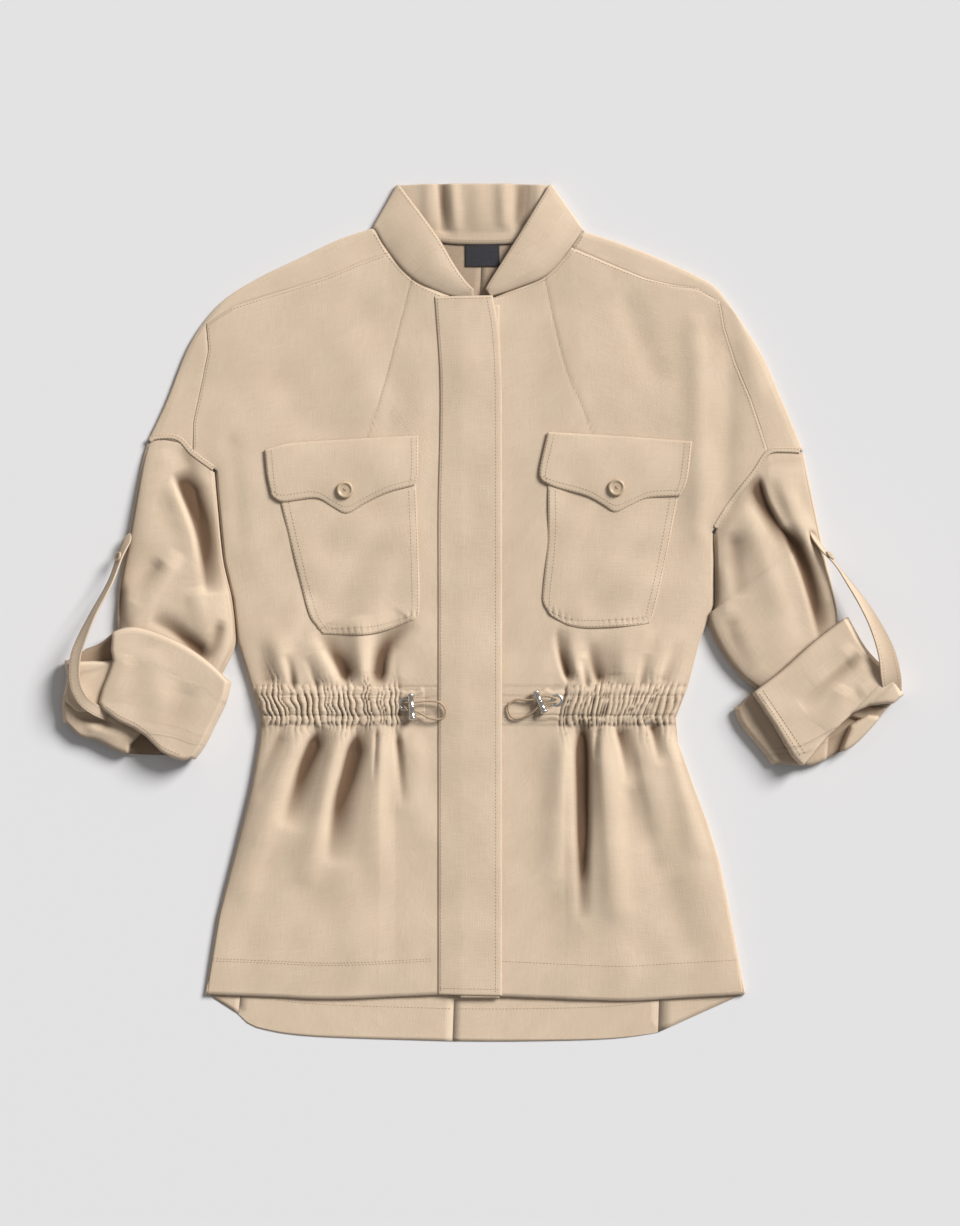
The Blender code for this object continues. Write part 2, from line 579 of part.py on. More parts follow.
def make_back(side, material):
    """Half of the back: flat on z = 0, turned over the shoulder and carried to the forward seam."""
    cloth = Cloth()
    inward = 1.0 if side == "left" else -1.0
    along, down = seam_stations(side)
    seam = np.vstack([along, down[1:]])
    outline = spread(SHOULDER[side], np.linspace(0, 1, len(seam)))
    bottom_shares = np.linspace(0, 1, 5)
    strip_rows, flat_rows = [], []
    middle_top, middle_foot = np.array(CENTRE_BACK_TOP), np.array(CENTRE_BACK_FOOT)
    neck = spread(BACK_NECK[side], bottom_shares)
    for index in range(len(seam)):
        edge, sewn = outline[index].copy(), seam[index]
        across = (sewn - edge) / np.linalg.norm(sewn - edge)
        radius = (EDGE_HEIGHT - WALL / 2) / 2
        edge += across * (radius + WALL / 2)
        sewn = sewn - across * SEAM_GAP * 0.6
        if index == 0:
            edge += np.array([0, -SEAM_GAP])
        strip = np.linspace(0, 1, 4)[:-1, None] * (edge - sewn) + sewn
        strip = np.vstack([strip, edge])
        if index == len(seam) - 1:
            strip[:, 1] = armhole_y(side, strip[:, 0])
        z = body_height(side, strip[:, 0], strip[:, 1])
        z[-1] = EDGE_HEIGHT
        turn = fold_under(edge[0], edge[1], EDGE_HEIGHT, across, WALL / 2, 4)
        if index == 0:
            flat = neck - np.array([0, SEAM_GAP])
            flat[0] = turn[-1, :2]
        else:
            drop = (middle_top[1] - SHOULDER[side][-1][1]) * index / (len(seam) - 1)
            share = drop / (middle_top[1] - middle_foot[1])
            target = middle_top + (middle_foot - middle_top) * share
            flat = turn[-1, :2] + bottom_shares[:, None] * (target - turn[-1, :2])
        flat[-1, 0] -= inward * SEAM_GAP / 2
        made = cloth.row(range(8), np.vstack([np.column_stack([strip, z]), turn]))
        strip_rows.append(made)
        flat_points = np.column_stack([flat[1:], np.full(len(flat) - 1, WALL / 2)])
        flat_rows.append([made[-1]] + cloth.row(range(1001, 1001 + len(flat_points)), flat_points))
    pit_y = SIDE[side][0][1]
    low_ys = [y for y in SIDE_ROWS[side] + WAIST_ROWS + SKIRT_ROWS if y <= pit_y]
    hem = spread(BACK_HEM[side], np.linspace(0, 1, 60))
    for y in low_ys:
        start = np.array([side_seam(side, y) + inward * SEAM_GAP,
                          wrapped_foot(side, side_seam(side, y), y)])
        share = (middle_top[1] - y) / (middle_top[1] - middle_foot[1])
        target = middle_top + (middle_foot - middle_top) * share
        line = start + bottom_shares[:, None] * (target - start)
        flat_rows.append(cloth.row([7] + list(range(1001, 1005)), lay(line, side)))
    x_seam = side_seam(side, -325) + inward * SEAM_GAP
    order = np.argsort(hem[:, 0])
    xs = x_seam + bottom_shares * (middle_foot[0] - x_seam)
    line = np.column_stack([xs, np.interp(xs, hem[order, 0], hem[order, 1])])
    flat_rows.append(cloth.row([7] + list(range(1001, 1005)), lay(line, side)))
    cloth.join_all(strip_rows)
    cloth.join_all(flat_rows)
    return cloth.build(f"back_{side}", WALL, material)


def lay(line, side):
    """A plan line as points on the flat back, parted from the other half at the centre seam."""
    line = line.copy()
    line[-1, 0] -= (1.0 if side == "left" else -1.0) * SEAM_GAP / 2
    return np.column_stack([line, np.full(len(line), WALL / 2)])


def ring(edge_a, edge_b, top, bottom_z, count_top, count_bottom, wall):
    """A closed section of a flattened tube between two plan points, with a half turn at each end."""
    across = (edge_b - edge_a) / np.linalg.norm(edge_b - edge_a)
    radius = (EDGE_HEIGHT - wall / 2) / 2
    a, b = edge_a + across * (radius + wall / 2), edge_b - across * (radius + wall / 2)
    shares = np.linspace(0, 1, count_top)
    plan = a + shares[:, None] * (b - a)
    z_top = top(plan[:, 0], plan[:, 1])
    z_top[0] = z_top[-1] = bottom_z + 2 * radius
    turn_b = fold_under(b[0], b[1], z_top[-1], -across, bottom_z, 3)
    low_shares = np.linspace(0, 1, count_bottom)[1:-1, None]
    low = np.column_stack([b + low_shares * (a - b), np.full(len(low_shares), bottom_z)])
    turn_a = fold_under(a[0], a[1], z_top[0], across, bottom_z, 3)[::-1]
    return np.vstack([np.column_stack([plan, z_top]), turn_b, low, turn_a])


def make_sleeve(side, material):
    """A sleeve as one flattened tube, its top edge curved along the armhole."""
    cloth = Cloth()
    shares = np.array(SLEEVE_STATIONS)
    outer = spread(SLEEVE_OUTER[side], shares)
    inner = spread(SLEEVE_INNER[side], shares)
    rows = []
    for index, share in enumerate(shares):
        crest = column_of(SLEEVE_CREST, share)

        def top(x, y, crest=crest, a=outer[index], b=inner[index]):
            near = np.minimum(np.hypot(x - a[0], y - a[1]), np.hypot(x - b[0], y - b[1]))
            height = crest + relief(SLEEVE_FOLDS[side], x, y)
            return np.maximum(EDGE_HEIGHT * SLEEVE_LEAST,
                              EDGE_HEIGHT + (height - EDGE_HEIGHT) * rounded(near))

        bottom = WALL / 2 + column_of(SLEEVE_RISE, share)
        parted = np.array([0, ARMHOLE_GAP if index == 0 else 0])
        section = ring(outer[index] - parted, inner[index] - parted, top, bottom, SLEEVE_UPPER,
                       SLEEVE_LOWER, WALL)
        if share < ARMHOLE_REACH:
            x = section[:SLEEVE_UPPER, 0]
            slope = (inner[0][1] - outer[0][1]) / (inner[0][0] - outer[0][0])
            chord = outer[0][1] + (x - outer[0][0]) * slope
            swell = np.sin(np.linspace(0, math.pi, SLEEVE_UPPER)) ** ARMHOLE_FULLNESS
            section[:SLEEVE_UPPER, 1] += (1 - share / ARMHOLE_REACH) * swell * (armhole_y(side, x) - chord)
        rows.append(cloth.row(range(len(section)), section))
    for row in rows:
        row.append((len(row), row[0][1]))
    cloth.join_all(rows)
    return cloth.build(f"sleeve_{side}", WALL, material)


def patch(bottom, top, left, right, across, along):
    """A plan grid bounded by four curves: rows run from the bottom curve to the top one."""
    u, v = np.linspace(0, 1, across), np.linspace(0, 1, along)
    low, high = spread(bottom, u)[None], spread(top, u)[None]
    start, end = spread(left, v)[:, None], spread(right, v)[:, None]
    u, v = u[None, :, None], v[:, None, None]
    low_corners = (1 - u) * low[:, :1] + u * low[:, -1:]
    high_corners = (1 - u) * high[:, :1] + u * high[:, -1:]
    corners = (1 - v) * low_corners + v * high_corners
    return (1 - v) * low + v * high + (1 - u) * start + u * end - corners


def grid_cloth(name, points, wall, material, offset=0.0, closed=False):
    """A wall through a grid of points (rows, columns, xyz), closed on itself along the columns if asked."""
    cloth = Cloth()
    rows = [cloth.row(range(points.shape[1]), row) for row in points]
    if closed:
        for row in rows:
            row.append((len(row), row[0][1]))
    cloth.join_all(rows)
    return cloth.build(name, wall, material, offset)


def laid_on(plan, under, lift, puff=0.0, reach=3.0, least=0.0):
    """Heights for a piece that lies on others: their surface moved out, fuller in its middle."""
    trees = [surface_tree(obj) for obj in under]
    z = np.maximum(top_of(trees, plan[..., 0], plan[..., 1], reach), least) + lift
    rows, columns = z.shape
    bulge = np.sin(np.linspace(0, math.pi, rows))[:, None] * np.sin(np.linspace(0, math.pi, columns))[None]
    return np.dstack([plan, z + puff * bulge ** 0.7])


def make_collar(material):
    """The stand collar: its back lies inside up, and its two fronts are folded over it at the corners."""
    side_points = []
    for side in ("left", "right"):
        fold_line = COLLAR_FOLD[side]
        front = patch(COLLAR_SEAM[side], COLLAR_EDGE[side], COLLAR_TIP[side], fold_line, WING_ACROSS,
                      STAND_ALONG)
        depth = np.linspace(0, 1, front.shape[1])[None]
        rise = np.linspace(0, 1, front.shape[0])[:, None]
        swell = np.sin(math.pi * rise) * np.sin(math.pi * depth)
        z = COLLAR_FRONT_HEIGHT + WING_PUFF * swell - WING_FALL * depth ** 3
        front = np.dstack([front, z])
        edge = front[:, -1]
        inwards = np.array([1.0, 0.0]) if side == "left" else np.array([-1.0, 0.0])
        turn = np.stack([fold_under(p[0], p[1], p[2], inwards, COLLAR_BACK_HEIGHT, 4)[:-1] for p in edge])
        side_points.append(np.concatenate([front, turn], axis=1))
    back = patch(COLLAR_BACK_SEAM, COLLAR_BACK_EDGE, COLLAR_FOLD["left"], COLLAR_FOLD["right"],
                 STAND_ACROSS,
                 STAND_ALONG)
    share = np.linspace(0, 1, STAND_ACROSS)[None]
    waves = STAND_WAVE * np.sin(math.pi * share) * (1 + np.sin(2 * math.pi * (2.6 * share + 0.1)))
    z = COLLAR_BACK_HEIGHT + waves * np.sin(np.linspace(0.15, 2.6, STAND_ALONG))[:, None]
    back = np.dstack([back, z])
    band = np.concatenate([side_points[0], back, side_points[1][:, ::-1]], axis=1)
    return grid_cloth("collar", band, WALL, material)


def make_cuff(side, material):
    """A rolled turn-up: a flattened tube of several layers whose back layer reaches further."""
    table = CUFF[side]
    over = patch(table["rim"], table["mouth"], table["front_left"], table["right"], CUFF_ACROSS, CUFF_ALONG)
    below = patch(table["back_rim"], table["back_mouth"], table["back_left"], table["back_right"],
                  CUFF_ALONG,
                  CUFF_ALONG)
    u = np.linspace(0, 1, CUFF_ACROSS)[None]
    v = np.linspace(0, 1, CUFF_ALONG)[:, None]
    crest = column_of(table["crest"], v) + relief(table["folds"], over[..., 0], over[..., 1])
    shape = np.sin(math.pi * np.clip(u * 0.9 + 0.07, 0, 1)) ** 0.45
    z_over = table["edge"] + (crest - table["edge"]) * shape
    z_over[:, 0] = column_of(table["left_height"], v[:, 0])
    low = CUFF_WALL / 2
    rings = []
    for index in range(CUFF_ALONG):
        top_row = np.column_stack([over[index], z_over[index]])
        low_row = np.column_stack([below[index], np.full(CUFF_ALONG, low)])
        right = between(top_row[-1], low_row[-1], table["bulge_right"], 3)
        left = between(low_row[0], top_row[0], table["bulge_left"], 3)
        rings.append(np.vstack([top_row, right, low_row[::-1], left]))
    return grid_cloth(f"cuff_{side}", np.array(rings), CUFF_WALL, material, closed=True)


def between(start, end, bulge, steps):
    """Points of a side wall from one edge to another, bowed outwards by the bulge (x, y)."""
    t = np.linspace(0, 1, steps + 2)[1:-1, None]
    return start + t * (end - start) + np.sin(math.pi * t) * np.array([*bulge, 0.0])


def make_tab(side, sleeve, material):
    """The roll-up strap: a flat band that starts on the sleeve and follows its path, turned by its lean."""
    rows = np.asarray(TAB_PATH[side], float)
    seat = top_of([surface_tree(sleeve)], rows[:1, 0], rows[:1, 1], TAB_WIDTH * 0.2)
    rows[0, 2] = seat[0] + LAY_GAP + STRAP_WALL / 2
    path = spread(rows, np.linspace(0, 1, TAB_STATIONS))
    along = np.gradient(path[:, :3], axis=0)
    along /= np.linalg.norm(along, axis=1)[:, None]
    flat = np.cross(along, [0, 0, 1.0])
    flat /= np.linalg.norm(flat, axis=1)[:, None]
    up = np.cross(flat, along)
    lean = np.radians(path[:, 3])[:, None]
    across = np.cos(lean) * flat + np.sin(lean) * up
    half = TAB_WIDTH / 2 * np.interp(np.arange(TAB_STATIONS), [0, 1.2], [0.45, 1])[:, None]
    points = np.stack([path[:, :3] - across * half, path[:, :3], path[:, :3] + across * half], axis=1)
    return grid_cloth(f"tab_{side}", points, STRAP_WALL, material)


def turned(name, profile, steps, place, material, tilt=(0.0, 0.0, 0.0)):
    """A profile of (radius, height) turned about its own Z and set at its place."""
    mesh = bpy.data.meshes.new(name)
    points = [(r * MM, 0, z * MM) for r, z in profile]
    mesh.from_pydata(points, [(i, i + 1) for i in range(len(points) - 1)], [])
    obj = bpy.data.objects.new(name, mesh)
    jacket.objects.link(obj)
    screw = obj.modifiers.new("turn", "SCREW")
    screw.steps = screw.render_steps = steps
    screw.use_merge_vertices = True
    screw.merge_threshold = 0.00001
    obj.location = [c * MM for c in place]
    obj.rotation_euler = tilt
    mesh.materials.append(material)
    return obj


def make_button(name, radius, height, x, y, under, material):
    """A dished button with a raised rim, seated on the piece under it."""
    z = float(top_of([surface_tree(under)], np.array([x]), np.array([y]), radius * 1.1)[0]) + LAY_GAP
    profile = ((0, height * 0.62), (radius * 0.62, height * 0.62), (radius * 0.76, height),
               (radius * 0.92, height), (radius, height * 0.55), (radius * 0.9, 0.1 * height),
               (radius * 0.7, 0), (0, 0))
    return turned(name, profile, 16, (x, y, z), material)


def make_eyelet(side, under, material):
    """A rolled metal eyelet round the cord's hole in the casing."""
    x, y = EYELET_PLACE[side]
    z = float(top_of([surface_tree(under)], np.array([x]), np.array([y]), EYELET_RADIUS * 0.8)[0]) + LAY_GAP
    profile = ((EYELET_RADIUS * 0.72, EYELET_HEIGHT), (EYELET_RADIUS * 0.92, EYELET_HEIGHT * 0.8),
               (EYELET_RADIUS, 0.4), (EYELET_RADIUS * 0.96, 0), (EYELET_HOLE, 0),
               (EYELET_HOLE * 0.98, EYELET_HEIGHT * 0.6), (EYELET_HOLE * 1.12, EYELET_HEIGHT * 0.95),
               (EYELET_RADIUS * 0.72, EYELET_HEIGHT))
    return turned(f"eyelet_{side}", profile, 16, (x, y, z), material)


def make_lock(side, material):
    """The cord lock: a turned barrel with flared ends and two holes for the cord's two strands."""
    table = CORD_LOCK[side]
    length = table["length"]
    half = length / 2
    profile = ((0, half), (LOCK_FLARE * 0.8, half), (LOCK_FLARE, half - 0.6), (LOCK_FLARE, half - 2.0),
               (LOCK_RADIUS, half - 3.2), (LOCK_RADIUS, 3.2 - half), (LOCK_FLARE, 2.0 - half),
               (LOCK_FLARE, 0.6 - half), (LOCK_FLARE * 0.8, -half), (0, -half))
    lean = math.radians(table["lean"])
    obj = turned(f"cord_lock_{side}", profile, 14, table["place"], material, (math.pi / 2, 0, lean))
    for index, along in enumerate(table["holes"]):
        bpy.ops.mesh.primitive_cylinder_add(vertices=12, radius=LOCK_HOLE * MM, depth=12 * MM)
        cutter = bpy.context.object
        cutter.name = f"lock_hole_{side}_{index}"
        x, y, z = table["place"]
        cutter.location = ((x - math.sin(lean) * along) * MM, (y + math.cos(lean) * along) * MM, z * MM)
        cutter.rotation_euler = (0, math.pi / 2, lean)
        for home in list(cutter.users_collection):
            home.objects.unlink(cutter)
        cutters.objects.link(cutter)
        cutter.hide_render = True
        cutter.display_type = "WIRE"
        cut = obj.modifiers.new(f"hole_{index}", "BOOLEAN")
        cut.operation = "DIFFERENCE"
        cut.object = cutter
    return obj


def make_cord(side, material):
    """The elastic cord: out of the eyelet, through the lock, round its free loop and back the same way."""
    curve = bpy.data.curves.new(f"cord_{side}", "CURVE")
    curve.dimensions = "3D"
    curve.bevel_depth = CORD_RADIUS * MM
    curve.bevel_resolution = 2
    curve.use_fill_caps = True
    points = spread(CORD_ROUTE[side], np.linspace(0, 1, CORD_POINTS))
    line = curve.splines.new("POLY")
    line.points.add(len(points) - 1)
    for point, place in zip(line.points, points):
        point.co = (*(place * MM), 1)
    obj = bpy.data.objects.new(f"cord_{side}", curve)
    jacket.objects.link(obj)
    curve.materials.append(material)
    return obj


for old in list(bpy.data.objects):
    bpy.data.objects.remove(old)
jacket = bpy.data.collections.new("safari_jacket")
cutters = bpy.data.collections.new("cutters")
bpy.context.scene.collection.children.link(jacket)
bpy.context.scene.collection.children.link(cutters)

linen = material_of("linen", (0.60, 0.47, 0.34), 0.82)
label_cloth = material_of("label_cloth", (0.03, 0.03, 0.04), 0.7)
horn = material_of("horn_button", (0.50, 0.38, 0.26), 0.35)
metal = material_of("nickel", (0.62, 0.58, 0.52), 0.25, 1.0)
elastic = material_of("elastic_cord", (0.42, 0.31, 0.20), 0.75)

cloths = {}
for side in ("left", "right"):
    cloths["back", side] = make_back(side, linen)
    cloths["front", side] = make_front(side, linen)
    cloths["sleeve", side] = make_sleeve(side, linen)
    make_cuff(side, linen)
make_collar(linen)
fronts = [cloths["front", "left"], cloths["front", "right"]]
backs = [cloths["back", "left"], cloths["back", "right"]]

label = patch(*LABEL_EDGES, *LABEL_GRID)
grid_cloth("neck_label", laid_on(label, backs, LAY_GAP + TRIM_WALL / 2), TRIM_WALL, label_cloth)
lap = patch(*UNDERLAP_EDGES, *LAP_GRID)
underlap = grid_cloth("underlap", laid_on(lap, fronts, LAY_GAP + TRIM_WALL / 2, least=FRONT_FOOT_TOP),
                      TRIM_WALL, linen)
strip = patch(*PLACKET_EDGES, *STRIP_GRID)
grid_cloth("placket", laid_on(strip, fronts + [underlap], LAY_GAP + TRIM_WALL / 2, 0, 7.0,
                              FRONT_NECK_TOP), TRIM_WALL, linen)
for side in ("left", "right"):
    front = cloths["front", side]
    pocket_plan = patch(*POCKET[side], *POCKET_GRID)
    pocket = grid_cloth(f"pocket_{side}", laid_on(pocket_plan, [front], LAY_GAP + TRIM_WALL / 2,
                                                  POCKET_PUFF),
                        TRIM_WALL, linen)
    flap_plan = patch(*FLAP[side], *FLAP_GRID)
    flap = grid_cloth(f"flap_{side}", laid_on(flap_plan, [front, pocket], LAY_GAP + TRIM_WALL, FLAP_PUFF,
                                              8.0),
                      TRIM_WALL, linen)
    make_button(f"flap_button_{side}", BUTTON_RADIUS, BUTTON_HEIGHT, *FLAP_BUTTON[side], flap, horn)
    tab = make_tab(side, cloths["sleeve", side], linen)
    make_button(f"tab_button_{side}", TAB_BUTTON_RADIUS, TAB_BUTTON_HEIGHT, *TAB_BUTTON[side], tab, horn)
    make_eyelet(side, front, metal)
    make_lock(side, metal)
    make_cord(side, elastic)

# The tables' centre is a little off the middle of the finished outline, which is the part's origin.
origin = bpy.data.objects.new("laid_centre", None)
bpy.context.scene.collection.objects.link(origin)
origin.location = (LAID_SHIFT[0] * MM, LAID_SHIFT[1] * MM, 0)
for obj in [*jacket.objects, *cutters.objects]:
    obj.parent = origin
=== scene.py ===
"""Looks of a linen safari jacket laid flat: rolled sleeves, a drawn waist, a stand collar open at its tips.

The jacket lies on its back on a pale floor and is seen straight from above. Tables are in millimetres from
the centre of the laid jacket, x to the viewer's right and y up the body. Meshes are in metres, in the frame
of the CAD.
"""
import math

import bpy
import numpy as np
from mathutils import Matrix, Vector


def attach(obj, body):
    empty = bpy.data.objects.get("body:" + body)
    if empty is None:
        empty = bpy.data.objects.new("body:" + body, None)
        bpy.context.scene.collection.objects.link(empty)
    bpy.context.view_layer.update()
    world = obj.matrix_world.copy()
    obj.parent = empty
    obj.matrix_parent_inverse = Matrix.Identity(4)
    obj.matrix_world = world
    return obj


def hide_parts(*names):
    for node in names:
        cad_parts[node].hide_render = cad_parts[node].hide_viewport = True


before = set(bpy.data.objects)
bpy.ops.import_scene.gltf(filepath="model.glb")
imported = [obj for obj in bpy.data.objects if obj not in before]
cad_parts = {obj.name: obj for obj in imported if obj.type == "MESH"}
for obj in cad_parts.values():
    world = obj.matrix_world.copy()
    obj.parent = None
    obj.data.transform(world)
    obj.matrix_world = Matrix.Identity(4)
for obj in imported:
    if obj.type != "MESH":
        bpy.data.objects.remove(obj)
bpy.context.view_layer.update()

# ---- Floor, light and camera ---------------------------------------------------------------------------
# A seamless pale table top, soft light from a window at the upper right, a weak even sky, and a long lens
# looking straight down from over the waist, as in a shop's flat-lay picture.
MM = 0.001
LAID_SHIFT = np.array([0.57, 1.02, 0.0])
CAMERA_HEIGHT = 3.2
FRAME_HEIGHT = 1.042
SENSOR = 36.0
VIEW_CENTRE = (-0.0020, -0.0003)
WINDOW_PLACE = (2.6, 2.1, 2.35)
WINDOW_STRENGTH = 4.3
WINDOW_SPREAD = 0.42
SKY_STRENGTH = 0.25
SKY_COLOUR = (0.985, 0.99, 1.0, 1)
FLOOR_REACH = 4
FLOOR_COLOUR = (0.745, 0.735, 0.735, 1)


def linked(name, data):
    """A new object at the origin holding this mesh, curve, light or camera."""
    obj = bpy.data.objects.new(name, data)
    bpy.context.scene.collection.objects.link(obj)
    return obj


def new_material(name):
    """An empty node material and its Principled shader."""
    material = bpy.data.materials.new(name)
    material.use_nodes = True
    return material, material.node_tree.nodes["Principled BSDF"]


def node(tree, kind, inputs=(), **settings):
    """A shader node with its settings, and its inputs as values or as outputs to link from."""
    made = tree.nodes.new(kind)
    for key, value in settings.items():
        setattr(made, key, value)
    for key, value in dict(inputs).items():
        if isinstance(value, bpy.types.NodeSocket):
            tree.links.new(value, made.inputs[key])
        else:
            made.inputs[key].default_value = value
    return made


def maths(tree, operation, a, b=0.0):
    """The output of one Math node."""
    return node(tree, "ShaderNodeMath", {0: a, 1: b}, operation=operation).outputs[0]


def tint_between(tree, share, first, second):
    """Colour that goes from the first to the second as the share goes from 0 to 1."""
    mix = node(tree, "ShaderNodeMix", {"Factor": share}, data_type="RGBA")
    mix.inputs["A"].default_value = (*first, 1)
    mix.inputs["B"].default_value = (*second, 1)
    return mix.outputs["Result"]


floor_mesh = bpy.data.meshes.new("floor")
floor_corners = [(FLOOR_REACH * x, FLOOR_REACH * y, 0) for x, y in ((-1, -1), (1, -1), (1, 1), (-1, 1))]
floor_mesh.from_pydata(floor_corners, [], [(0, 1, 2, 3)])
floor = linked("floor", floor_mesh)
paper, paper_shader = new_material("backdrop_paper")
paper_shader.inputs["Base Color"].default_value = FLOOR_COLOUR
paper_shader.inputs["Roughness"].default_value = 0.9
floor_mesh.materials.append(paper)

lamp = bpy.data.lights.new("window", "SUN")
lamp.energy, lamp.angle = WINDOW_STRENGTH, WINDOW_SPREAD
window = linked("window", lamp)
window.location = WINDOW_PLACE
window.rotation_euler = Vector(WINDOW_PLACE).to_track_quat("Z", "Y").to_euler()

world = bpy.data.worlds.new("studio")
world.use_nodes = True
sky = world.node_tree.nodes["Background"]
sky.inputs["Color"].default_value = SKY_COLOUR
sky.inputs["Strength"].default_value = SKY_STRENGTH
bpy.context.scene.world = world
bpy.context.scene.view_settings.view_transform = "Standard"

lens = bpy.data.cameras.new("camera")
lens.sensor_fit = "VERTICAL"
lens.sensor_height = SENSOR
lens.lens = SENSOR * CAMERA_HEIGHT / FRAME_HEIGHT
camera = linked("camera", lens)
camera.location = (*VIEW_CENTRE, CAMERA_HEIGHT)
bpy.context.scene.camera = camera

# ---- Drawcord ------------------------------------------------------------------------------------------
# Each side has a loop of round elastic cord, braided over rubber. It comes out of the eyelet, passes through
# the spring barrel, makes its free loop and goes back the same way into the casing.
CORD_RADIUS = 0.9
CORD_POINTS = 160
CORD_SIDES = 12
CORD_ROUTE = {
    "left": ((-66.5, -77.5, 9.3), (-66.3, -77.3, 12.0), (-64.6, -77.2, 13.3), (-61, -77.0, 13.4),
             (-57, -76.8, 13.4),
             (-50, -76.0, 12.7), (-41, -76.1, 12.3), (-35.5, -78.2, 12.3), (-31.6, -83.8, 12.3),
             (-33, -89.6, 12.3),
             (-38.5, -91.4, 12.3), (-46, -90.1, 12.5), (-53, -86.2, 13.0), (-57.4, -84.2, 13.4),
             (-61, -83.9, 13.4),
             (-64.4, -83.3, 13.3), (-66.3, -81.0, 12.0), (-66.5, -80.5, 9.3)),
    "right": ((62.5, -74.0, 8.9), (61.6, -73.8, 11.8), (58.6, -72.6, 13.3), (54, -71.6, 13.4),
              (49.9, -72.0, 13.4),
              (43.9, -74.4, 13.4), (37, -75.2, 12.2), (28, -74.7, 11.2), (21.4, -80, 10.9),
              (23.5, -88.8, 10.9),
              (30, -91.0, 10.9), (40, -86.8, 11.8), (46.7, -81.0, 13.4), (52.7, -78.6, 13.4),
              (57.6, -77.6, 13.3),
              (61.6, -76.9, 11.8), (62.5, -77.0, 8.9)),
}


def smooth_path(points, per_span=8):
    """A Catmull-Rom curve: each span leaves its points along the line of their neighbours."""
    p = np.asarray(points, float)
    padded = np.vstack([2 * p[0] - p[1], p, 2 * p[-1] - p[-2]])
    a, b, c, d = (padded[k:len(p) - 1 + k, None] for k in range(4))
    t = np.linspace(0, 1, per_span, endpoint=False)[None, :, None]
    spans = b + 0.5 * t * (c - a + t * (2 * a - 5 * b + 4 * c - d + t * (3 * (b - c) + d - a)))
    return np.vstack([spans.reshape(-1, p.shape[1]), p[-1:]])


def run_of(points):
    """Length along a line of points, from its first point."""
    return np.concatenate([[0], np.cumsum(np.linalg.norm(np.diff(points, axis=0), axis=1))])


def on_runs(points, shares):
    """Points at these shares of the length of a line of straight runs."""
    points = np.asarray(points, float)
    run = run_of(points)
    at = np.asarray(shares, float) * run[-1]
    return np.stack([np.interp(at, run, points[:, k]) for k in range(points.shape[1])], axis=1)


def spread(points, shares):
    """Points of the smooth curve at these shares of its length."""
    return on_runs(smooth_path(points), shares)


# Painted shade in the cloth's hollows, at two scales: reach and depth in millimetres, and how much of the
# painted shade they give
PAINTED_SHADE_SCALES = ((12, 4.0, 0.6), (2.4, 1.0, 0.8))


def hollow_of(grid, reach, depth):
    """How far each point lies below the cloth around it: 0 on ridges and flats, 1 from this depth on.

    The height around it is the Gaussian mean sum(w z) / sum(w), with w = exp(-(distance / reach)^2).
    """
    def weights(rows):
        run = run_of(rows)
        near = np.exp(-((run[:, None] - run[None]) / reach) ** 2)
        return near / near.sum(axis=1, keepdims=True)
    around = weights(grid.mean(axis=1)) @ grid[..., 2] @ weights(grid.mean(axis=0)).T
    return np.clip((around - grid[..., 2]) / depth, 0, 1)


def mesh_of(name, grids, material, closed=False, weld=False, troughs=(), shade=1.0):
    """A mesh from grids of millimetre points (rows, columns, xyz), with a UV map in metres of cloth.

    Faces join neighbouring points; closed joins the last column to the first; weld merges shared borders.
    The point attribute "hollow" is painted shade from 0 to 1 that darkens the cloth's colour: it grows the
    lower a point lies in a fold or a crevice, and the troughs given add painted shade of their own.
    """
    points, faces, uvs, hollows = [], [], [], []
    first = 0
    for grid in grids:
        rows, columns = grid.shape[:2]
        index = first + np.arange(rows * columns).reshape(rows, columns)
        if closed:
            index = np.hstack([index, index[:, :1]])
        quads = np.stack([index[:-1, :-1], index[1:, :-1], index[1:, 1:], index[:-1, 1:]], axis=-1)
        whole = np.hstack([grid, grid[:, :1]]) if closed else grid
        u = np.pad(np.cumsum(np.linalg.norm(np.diff(whole, axis=1), axis=2), axis=1), ((0, 0), (1, 0)))
        v = np.pad(np.cumsum(np.linalg.norm(np.diff(whole[..., :2], axis=0), axis=2), axis=0),
                   ((1, 0), (0, 0)))
        uv = np.dstack([u - u[:, -1:] / 2, v]) * MM
        corner = np.stack([uv[:-1, :-1], uv[1:, :-1], uv[1:, 1:], uv[:-1, 1:]], axis=2)
        points.append(((grid + LAID_SHIFT) * MM).reshape(-1, 3))
        faces.append(quads.reshape(-1, 4))
        uvs.append(corner.reshape(-1, 2))
        painted_shade = np.max([part * shade * hollow_of(grid, reach, depth) for reach, depth,
                         part in PAINTED_SHADE_SCALES], axis=0)
        for trough in troughs[len(hollows):len(hollows) + 1]:
            painted_shade = np.maximum(painted_shade, trough)
        hollows.append(painted_shade.ravel())
        first += rows * columns
    points, faces, uvs = np.vstack(points), np.vstack(faces), np.vstack(uvs)
    if weld:
        _, keep, swap = np.unique(np.round(points, 7), axis=0, return_index=True, return_inverse=True)
        points, faces = points[keep], swap.reshape(-1)[faces]
        hollows = [np.concatenate(hollows)[keep]]
    mesh = bpy.data.meshes.new(name)
    mesh.from_pydata(points, [], faces)
    mesh.uv_layers.new(name="cloth").data.foreach_set("uv", uvs.ravel().astype(np.float32))
    painted_shade = mesh.attributes.new("painted_shade", "FLOAT", "POINT")
    painted_shade.data.foreach_set("value", np.concatenate(hollows).astype(np.float32))
    mesh.materials.append(material)
    mesh.shade_smooth()
    mesh.update()
    return mesh


TUBE_TIP = (0.02, 0.8)


